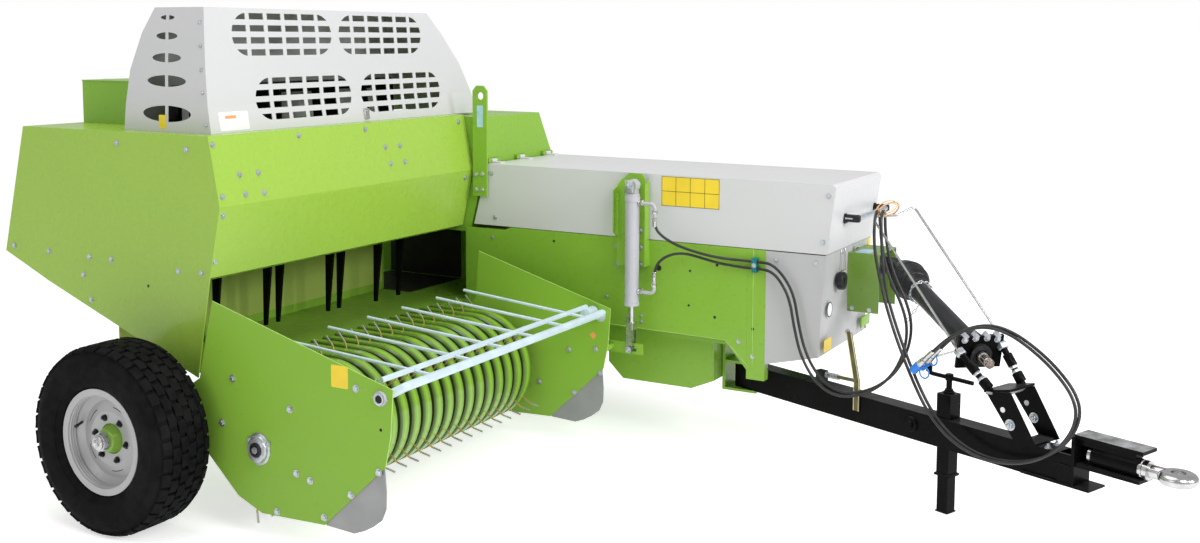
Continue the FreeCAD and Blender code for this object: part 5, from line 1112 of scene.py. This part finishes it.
class BALER_OT_pickup_fittings(bpy.types.Operator):
    """Fit the reel's pressed bearing housings and hub, the tines' coils and the windguard's pivot"""

    bl_idname = "baler.pickup_fittings"
    bl_label = "Pickup fittings"

    def execute(self, context):
        sizes = context.scene.baler_sizes
        for name, face, out in (("right", PICKUP_RIGHT, -Y), ("left", -0.2, Y)):
            centre = REEL_AXIS + Y * face
            housing = turned("housing", centre, out, mm(
                (0.2, 50), (0.2, 61), (3.4, 61), (4.6, 57), (7, 53), (15, 49.5), (20.5, 47.8), (21.8, 44),
                (21.8, 30), (20.3, 29)), 64)
            work(housing, "VERT", lambda vertex: (vertex.co - centre).length > 0.052,
                 lambda: bpy.ops.transform.resize(value=(0.94, 1, 1.05), center_override=centre))
            finished(housing, "bolt zinc", "pickup")
            housing.name = "reel_housing_" + name
            places = [(centre + out * 0.0035 + polar(X, Z, 0.0555, math.radians(angle)), out, 1)
                      for angle in (270, 30, 150)]
            bolted("reel_housing_bolts_" + name, 0.009, 0.004, places, body="pickup")
        end = REEL_AXIS - Y * 1.86
        hub = turned("reel_hub", end, -Y, mm(
            (0, 0), (0, 29), (5, 29), (6.2, 27), (6.2, 19), (4, 18), (4, 0)), 40, closed=False)
        finished(hub, "dark steel", "reel")
        centre = turned("reel_hub_centre", end - Y * 0.0035, -Y, mm(
            (0, 0), (0, 15), (5, 15), (6.2, 13.5), (6.2, 0)), 6, closed=False)
        finished(centre, "worn plate", "reel")

        coil = wire("coil", helix((0, 0, 0), Y, 0.0105, 0.018, 3, 8), sizes.spring_wire + 0.001, sides=1)
        places = []
        for bar in range(TINE_BARS):
            angle = math.radians(-35 + 360 / TINE_BARS * bar)
            middle = REEL_AXIS + polar(X, Z, 0.2085, angle) + polar(Z, -X, 0.011, angle)
            places += [(middle + Y * (TINE_PITCH * j - BAND_START - 0.004), Z, 1)
                       for j in range(TINES_PER_BAR)]
        finished(copies("tine_coils", coil, places), "yellow zinc", "reel")

        pivot = at(1.166, PICKUP_RIGHT, 0.652)
        ring = turned("ring", pivot, -Y, mm(
            (0, 16.5), (0, 25), (3, 25), (3.5, 22.2), (15, 22.2), (15.5, 20.5), (15.5, 16.5)), 40)
        pin, loop = mm((-34, -9, 4), (0, -9, 0), (36, -9, -4)), mm((26, -9, -3), (32, -14, 6), (40, -11, -2))
        pin = [wire("pin", [pivot + Vector(point) for point in pin], 0.0035, False),
               wire("loop", [pivot + Vector(point) for point in loop], 0.003)]
        fitted("guard_pivot_ring", [ring, *pin], "bolt zinc", "windguard")
        thick = drum("guard_stub", at(1.134, -0.292, 0.672), at(1.134, -0.216, 0.672), 0.027, 32, 0.002)
        finished(thick, "guard paint", "windguard")
        # Painted shade: a black disc in the pivot's bore.
        bore = turned("guard_pivot_bore", pivot - Y * 0.012, -Y, mm((0, 0), (0, 15), (0.6, 15), (0.6, 0)),
                      32, closed=False)
        finished(bore, "deep black", "windguard")
        return {"FINISHED"}


# ---------------------------------------------------------------- drive shaft and its bearing

def shaft_frame():
    """Left and up, square to the drive shaft."""
    left = Vector((-SHAFT.y, SHAFT.x, 0)).normalized()
    return left, SHAFT.cross(left).normalized()


def chain_link(thickness):
    """One chain link lying along Z about the origin."""
    half, round_end = 0.0065, 0.0055
    points = [(round_end, 0, -half), (round_end, 0, half), (0, 0, half + 0.008),
              (-round_end, 0, half), (-round_end, 0, -half), (0, 0, -half - 0.008)]
    return wire("link", points, thickness, closed=True, sides=1)


def chain(name, points, thickness):
    """Links strung along points, every other one turned on edge."""
    return stamped(name, chain_link(thickness), [
        Matrix.Translation((before + after) / 2) @ facing(after - before).to_matrix().to_4x4()
        @ Matrix.Rotation(math.radians(90 * (i % 2)), 4, "Z")
        for i, (before, after) in enumerate(zip(points, points[1:]))])


class BALER_OT_shaft_fittings(bpy.types.Operator):
    """Fit the boot's folds, the guard chain, the stub's splines and the bearing's hardware"""

    bl_idname = "baler.shaft_fittings"
    bl_label = "Drive shaft and bearing"

    def execute(self, context):
        sizes = context.scene.baler_sizes
        left, up = shaft_frame()

        def ring_point(distance, radius, degrees):
            return SHAFT_REAR + SHAFT * distance + polar(left, up, radius, math.radians(degrees))

        folds = [
            turned("fold", SHAFT_REAR + SHAFT * distance, SHAFT, [
                (-width, radius - 0.004), (-width * 0.6, radius + proud * 0.6),
                (0, radius + proud), (width * 0.6, radius + proud * 0.6), (width, radius - 0.004)], 40)
            for distance, radius, width, proud in (
                (0.152, 0.0845, 0.012, 0.0035), (0.196, 0.0815, 0.01, 0.003), (0.228, 0.0685, 0.009, 0.0035),
                (0.262, 0.051, 0.008, 0.0035), (0.285, 0.0475, 0.007, 0.003))]
        fitted("boot_folds", folds, "guard plastic", angle=60)
        bands = [turned("band", SHAFT_REAR + SHAFT * distance, SHAFT, [
            (-0.006, radius - 0.003), (-0.006, radius), (0.006, radius), (0.006, radius - 0.003)], 40)
            for distance, radius in ((0.3, 0.0462), (SHAFT_LENGTH - 0.124, 0.0462))]
        fitted("boot_bands", bands, "bright steel")

        wrap = [ring_point(0.304, 0.052, angle) for angle in range(-90, 271, 20)]
        low = ring_point(0.304, 0.052, -90) - Z * 0.006
        hang = [low.lerp(low - X * 0.06, k / 4) - Z * (0.022 * k) for k in range(5)]
        fitted("guard_chain",
               [chain("wrap", wrap, sizes.chain_wire), chain("hang", hang, sizes.chain_wire)], "bolt zinc")

        tip = SHAFT_FRONT + SHAFT * 0.039
        spline = block("spline", (0, 0, 0), (0.0052, 0.004, 0.064), edge=0.0006, steps=1)
        spline.data.transform(Matrix.Translation(tip + SHAFT * 0.033 + up * 0.0172)
                              @ Matrix((left, up, SHAFT)).transposed().to_4x4())
        splines = ringed("splines", spline, tip, SHAFT, 6)
        groove = turned("groove", tip, SHAFT, mm((44, 15), (44, 19.8), (48, 18.5), (52, 19.8), (52, 15)), 32)
        point = turned("point", tip, SHAFT, mm((60, 0), (60, 17.4), (64, 17.4), (67, 15), (67, 0)),
                       32, closed=False)
        fitted("stub_splines", [splines, groove, point], "worn bronze", "input_stub")

        seal = turned("seal", SHAFT_FRONT, SHAFT, mm(
            (21.5, 25), (21.5, 44.5), (23.5, 45.5), (26, 44), (26.2, 33), (24, 30), (24, 25)), 48)
        finished(seal, "dark steel")
        nuts = [(SHAFT_FRONT + left * side + up * rise + SHAFT * 0.007, SHAFT, 1)
                for side, rise in ((-0.072, 0.063), (-0.026, 0.07), (0.022, 0.07), (0.068, 0.063))]
        bolted("bearing_nuts", 0.0105, 0.004, nuts)
        clamps = [drum("clamp", top - SHAFT * 0.016, top + SHAFT * 0.012, 0.0135, 4, 0.0025)
                  for top in (SHAFT_FRONT + left * side + up * 0.08
                              for side in (-0.07, -0.025, 0.022, 0.068))]
        fitted("bearing_clamps", clamps, "bolt zinc")

        sleeves, nuts = [], []
        for start, end in ((on_bar(1.47, -0.078, 0.584), on_bar(1.304, -0.078, 0.722)),
                           (on_bar(1.51, 0.078, 0.592), on_bar(1.394, 0.08, 0.748))):
            way, length = (end - start).normalized(), (end - start).length
            mid = length * 0.42
            for first, last, radius in ((0.012, 0.052, 0.0215), (mid, mid + 0.052, 0.0195)):
                sleeves.append(drum("sleeve", start + way * first, start + way * last, radius, 28, 0.002))
            for first, last, radius, edge in ((0.052, 0.064, 0.0185, 0.0012),
                                              (length - 0.036, length - 0.008, 0.0235, 0.003),
                                              (mid - 0.012, mid, 0.0175, 0.0012)):
                nuts.append(drum("nut", start + way * first, start + way * last, radius, 6, edge))
        fitted("post_sleeves", sleeves, "black paint")
        fitted("post_nuts", nuts, "bolt zinc")
        lip = wire("support_lip", [
            on_bar(1.462, -0.098, 0.577), on_bar(1.5, -0.055, 0.574), on_bar(1.522, 0, 0.576),
            on_bar(1.53, 0.055, 0.582), on_bar(1.515, 0.098, 0.59)], 0.012)
        finished(lip, "worn plate")

        bolted("support_bolts", 0.011, 0.006, [
            (on_bar(1.566, -0.084, 0.47), -ACROSS_BAR, 1.5), (on_bar(1.566, 0.0755, 0.47), -ACROSS_BAR, 1.4)])
        # Pale discs in the support's holes: painted light, the bright studio seen through them.
        holes = [turned("hole", on_bar(1.53, side, 0.522), -ACROSS_BAR, mm(
            (0.3, 0), (0.3, 9.5), (0.6, 10.5), (0, 11)), 28, closed=False) for side in (-0.084, 0.076)]
        fitted("support_holes", holes, "white plate")
        return {"FINISHED"}


# ---------------------------------------------------------------- drawbar, jack and hitch

JACK_REACH = 1.215                     # the jack's place along the drawbar


class BALER_OT_drawbar_fittings(bpy.types.Operator):
    """Fit the drawbar's boss, the latch's lever and spring, the jack's collars and the hitch's bolts"""

    bl_idname = "baler.drawbar_fittings"
    bl_label = "Drawbar, jack and hitch"

    def execute(self, context):
        boss = [turned("boss", on_bar(1.06, -0.043, 0.345), -ACROSS_BAR, mm(
            (0, 0), (0, 34), (6, 34), (10, 30), (10, 16), (18, 15), (18, 0)), 32, closed=False)]
        fitted("drawbar_boss", boss, "black paint")
        # Cream strips along the lever's rims: painted highlights where its edges catch the light.
        lever = (((0.7, 0.678), (0.751, 0.462), (0.751, 0.334)),
                 ((0.728, 0.674), (0.779, 0.468), (0.779, 0.334)))
        rims = [wire("rim", [on_bar(reach, -0.0513, z) for reach, z in run], 0.004, False, sides=2)
                for run in lever]
        fitted("lever_rim_highlights", rims, "cream wire")
        eye = turned("lever_eye", on_bar(0.694, -0.03, 0.6725), -ACROSS_BAR, mm(
            (0, 0), (0, 11.5), (3, 11.5), (4, 8), (12, 8), (12, 0)), 24, closed=False)
        foot = on_bar(0.59, -0.05, 0.4594)
        coil = helix(foot, on_bar(0.77, -0.05, 0.468) - foot, 0.0125, 0.075, 9, 10)
        spring = wire("latch_spring", coil, 0.003, sides=1)
        fitted("latch_fittings", [eye, spring], "bolt zinc")

        stack = [drum(name, on_bar(reach, 0, low), on_bar(reach, 0, high), radius, sides, edge)
                 for name, reach, low, high, radius, sides, edge in (
                     ("collar", JACK_REACH, 0.5045, 0.514, 0.023, 28, 0.002),
                     ("thrust", JACK_REACH, 0.514, 0.523, 0.0175, 28, 0.0015),
                     ("crank_boss", JACK_REACH, 0.559, 0.586, 0.0165, 28, 0.002),
                     ("grip", 1.112, 0.5745, 0.612, 0.0135, 24, 0.004))]
        fitted("jack_fittings", stack, "black paint")
        rim = [block("rim", on_bar(JACK_REACH, 0, 0.162), (0.074, 0.074, 0.01), (0, 0, BAR_TURN), 0.0015)]
        fitted("jack_tube_rim", rim, "black paint")
        foot = [block("foot", on_bar(JACK_REACH, 0, 0.0035), (0.06, 0.06, 0.006), (0, 0, BAR_TURN), 0.0012)]
        fitted("jack_foot", foot, "black paint", "jack_leg")

        bolted("hitch_bolts", 0.011, 0.01, [(on_bar(1.7, cross, 0.402), Z, 1) for cross in (-0.03, 0.03)])
        worn = [block("wear_face", on_bar(1.955, 0, 0.4886), (0.272, 0.092, 0.0018),
                      (0, 0, BAR_TURN), 0.0006, 1)]
        fitted("hitch_wear_face", worn, "worn plate")
        collar = turned("collar", on_bar(2.06, 0, 0.413), ALONG_BAR, mm(
            (0.5, 18), (0.5, 34), (4, 36), (12, 36), (15, 33), (15, 18)), 40)
        finished(collar, "bright steel", "hitch_eye")
        return {"FINISHED"}


# ---------------------------------------------------------------- couplers and cable coil

class BALER_OT_couplers(bpy.types.Operator):
    """Machine the hose couplers and fit their blue dust caps and ring straps"""

    bl_idname = "baler.couplers"
    bl_label = "Hose couplers"

    def execute(self, context):
        bodies, caps = [], []
        for hose, (_name, *route, _length) in enumerate(HOSES):
            points = hose_points(*route)
            way = (points[-1] - points[-2]).normalized()
            start = points[-1]
            bodies.append(drum("nut", start + way * 0.022, start + way * 0.036, 0.0125, 6, 0.001))
            bodies.append(turned("coupler", start, way, mm(
                (34, 7), (34, 14.5), (37, 15.5), (41, 14.5), (43, 15.5), (47, 14.5), (49, 15.5), (53, 14.5),
                (56, 15), (56, 7)), 28))
            caps.append(turned("cap", start, way, mm(
                (54.5, 0), (54.5, 16.8), (57, 18.2), (64, 18.2), (66, 17.2), (86, 17.2), (88, 18.2),
                (95, 18.2), (98.5, 16), (99, 0)), 28, closed=False))
            side = way.orthogonal().normalized()
            other = way.cross(side)
            middle = start + way * 0.06 + (ALONG_BAR * 0.03 + Z * (0.016 - 0.04 * hose))
            ring = [middle + polar(ALONG_BAR, Z, 0.0235, 2 * math.pi * k / 12) for k in range(12)]
            caps.append(wire("strap_ring", ring, 0.0065, closed=True, sides=3))
            caps.append(wire("strap", [start + way * 0.092 + side * 0.016, start + way * 0.082 + other * 0.03,
                                       middle - ALONG_BAR * 0.0235], 0.005, sides=3))
        fitted("coupler_bodies", bodies, "bright steel")
        fitted("coupler_caps", caps, "blue plastic")
        return {"FINISHED"}


class BALER_OT_cable_coil(bpy.types.Operator):
    """Wind the thin coloured wires round the hoses at the holder's hook"""

    bl_idname = "baler.cable_coil"
    bl_label = "Wire coil at the hose holder"

    def execute(self, context):
        middle = at(2.492, -0.1, 1.236)
        lean = Vector((0.3, -1, 0.2)).normalized()
        flat = Vector((0.85, 0.3, 0.42)).normalized()
        flat = (flat - lean * flat.dot(lean)).normalized()
        third = lean.cross(flat)
        made = {"copper wire": [], "cream wire": [], "red wire": []}
        for turn, (finish, long_side, short_side, lift, shift) in enumerate((
                ("copper wire", 0.066, 0.024, 0.006, 0), ("cream wire", 0.06, 0.02, 0, 0.006),
                ("red wire", 0.07, 0.027, -0.004, -0.005), ("copper wire", 0.055, 0.022, 0.01, 0.01),
                ("cream wire", 0.073, 0.03, 0.003, -0.01), ("copper wire", 0.063, 0.026, -0.008, 0.004))):
            points = []
            for k in range(12):
                angle = 2 * math.pi * k / 12
                points.append(middle + flat * (long_side * math.cos(angle) * 0.72 + 0.016)
                              + third * (short_side * math.sin(angle) + lift)
                              + lean * (shift + 0.01 * math.sin(angle + turn)))
            made[finish].append(wire("turn", points, 0.0028, closed=True, sides=2))
        for finish, turns in made.items():
            fitted(finish.replace(" ", "_") + "_turns", turns, finish)
        return {"FINISHED"}


# ---------------------------------------------------------------- hinges, painted edge highlights and painted shade

# Lighter green strips along folds and edges: painted highlights where they catch the light.
EDGE_HIGHLIGHTS = {                       # name: body, distance across, corners (forward, height)
    "pickup_right_edge": ("pickup", -1.8385, mm((330, 925), (1221, 690), (1208, 513), (1183, 396))),
    "pickup_left_edge": ("pickup", -0.2035, mm((472, 902), (1221, 690), (1208, 513), (1183, 396))),
    "column_edge": ("frame", -0.006, mm((1858, 1000), (1860, 446))),
    "panel_crease": ("frame", -0.0055, mm((1040, 569), (1721, 560), (1844, 446))),
}


class BALER_OT_seams(bpy.types.Operator):
    """Add the hood's hinge pins, painted highlights along the folded edges and painted shade in the channel
    """

    bl_idname = "baler.seams"
    bl_label = "Hinges and folded edges"

    def execute(self, context):
        pins = [drum("pin", at(0.384, y - 0.045, 1.33), at(0.384, y + 0.045, 1.33), 0.0045, 16, 0.001)
                for y in (0.06, 0.325, 0.59)]
        fitted("hood_hinge_pins", pins, "bolt zinc", "hood")
        for name, (body, y, corners) in EDGE_HIGHLIGHTS.items():
            # Painted highlight: a lighter green strip along the fold.
            edge = wire(name, [at(x, y, z) for x, z in corners], 0.0034, False, sides=2)
            finished(edge, "edge highlight green", body)
        # Painted shade: near-black sheets over the chamber's wall and floor.
        lining = [block("wall", at(-0.362, 0.465, 0.775), (0.5, 0.0016, 0.34), edge=0),
                  block("floor", at(-0.365, 0.232, 0.6008), (0.5, 0.462, 0.0012), edge=0)]
        fitted("chamber_painted_shade", lining, "chamber shade black")
        return {"FINISHED"}


# ---------------------------------------------------------------- paint

class BALER_OT_paint(bpy.types.Operator):
    """Give every steel, plastic and cast part of the frame its finish"""

    bl_idname = "baler.paint"
    bl_label = "Paint and plating"

    def execute(self, context):
        for finish, names in NODE_FINISHES.items():
            for name in names.split():
                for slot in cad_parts[name].material_slots:
                    slot.material = FINISHES[finish][0]
        return {"FINISHED"}


# ---------------------------------------------------------------- add-on

OPERATORS = [
    BALER_OT_stage, BALER_OT_hoses, BALER_OT_tyres, BALER_OT_wheel_fittings, BALER_OT_fasteners,
    BALER_OT_plates, BALER_OT_cover_fittings, BALER_OT_cylinder_fittings, BALER_OT_pickup_fittings,
    BALER_OT_shaft_fittings, BALER_OT_drawbar_fittings, BALER_OT_couplers, BALER_OT_cable_coil,
    BALER_OT_seams, BALER_OT_paint]


class BALER_PT_sidebar(bpy.types.Panel):
    """The baler's sizes, colours and pieces"""

    bl_idname = "BALER_PT_sidebar"
    bl_label = "Forage baler"
    bl_space_type = "VIEW_3D"
    bl_region_type = "UI"
    bl_category = "Baler"

    def draw(self, context):
        for group in (context.scene.baler_sizes, context.scene.baler_colours):
            box = self.layout.box()
            for name in group.__annotations__:
                box.prop(group, name)
        column = self.layout.column(align=True)
        for operator in OPERATORS:
            column.operator(operator.bl_idname)


CLASSES = [BalerSizes, BalerColours, *OPERATORS, BALER_PT_sidebar]


def register():
    for entry in CLASSES:
        bpy.utils.register_class(entry)
    bpy.types.Scene.baler_sizes = PointerProperty(type=BalerSizes)
    bpy.types.Scene.baler_colours = PointerProperty(type=BalerColours)


def unregister():
    del bpy.types.Scene.baler_colours
    del bpy.types.Scene.baler_sizes
    for entry in reversed(CLASSES):
        bpy.utils.unregister_class(entry)


def main():
    register()
    mix_finishes(bpy.context.scene.baler_colours)
    for operator in OPERATORS:
        group, call = operator.bl_idname.split(".")
        getattr(getattr(bpy.ops, group), call)()


if __name__ == "__main__":
    main()
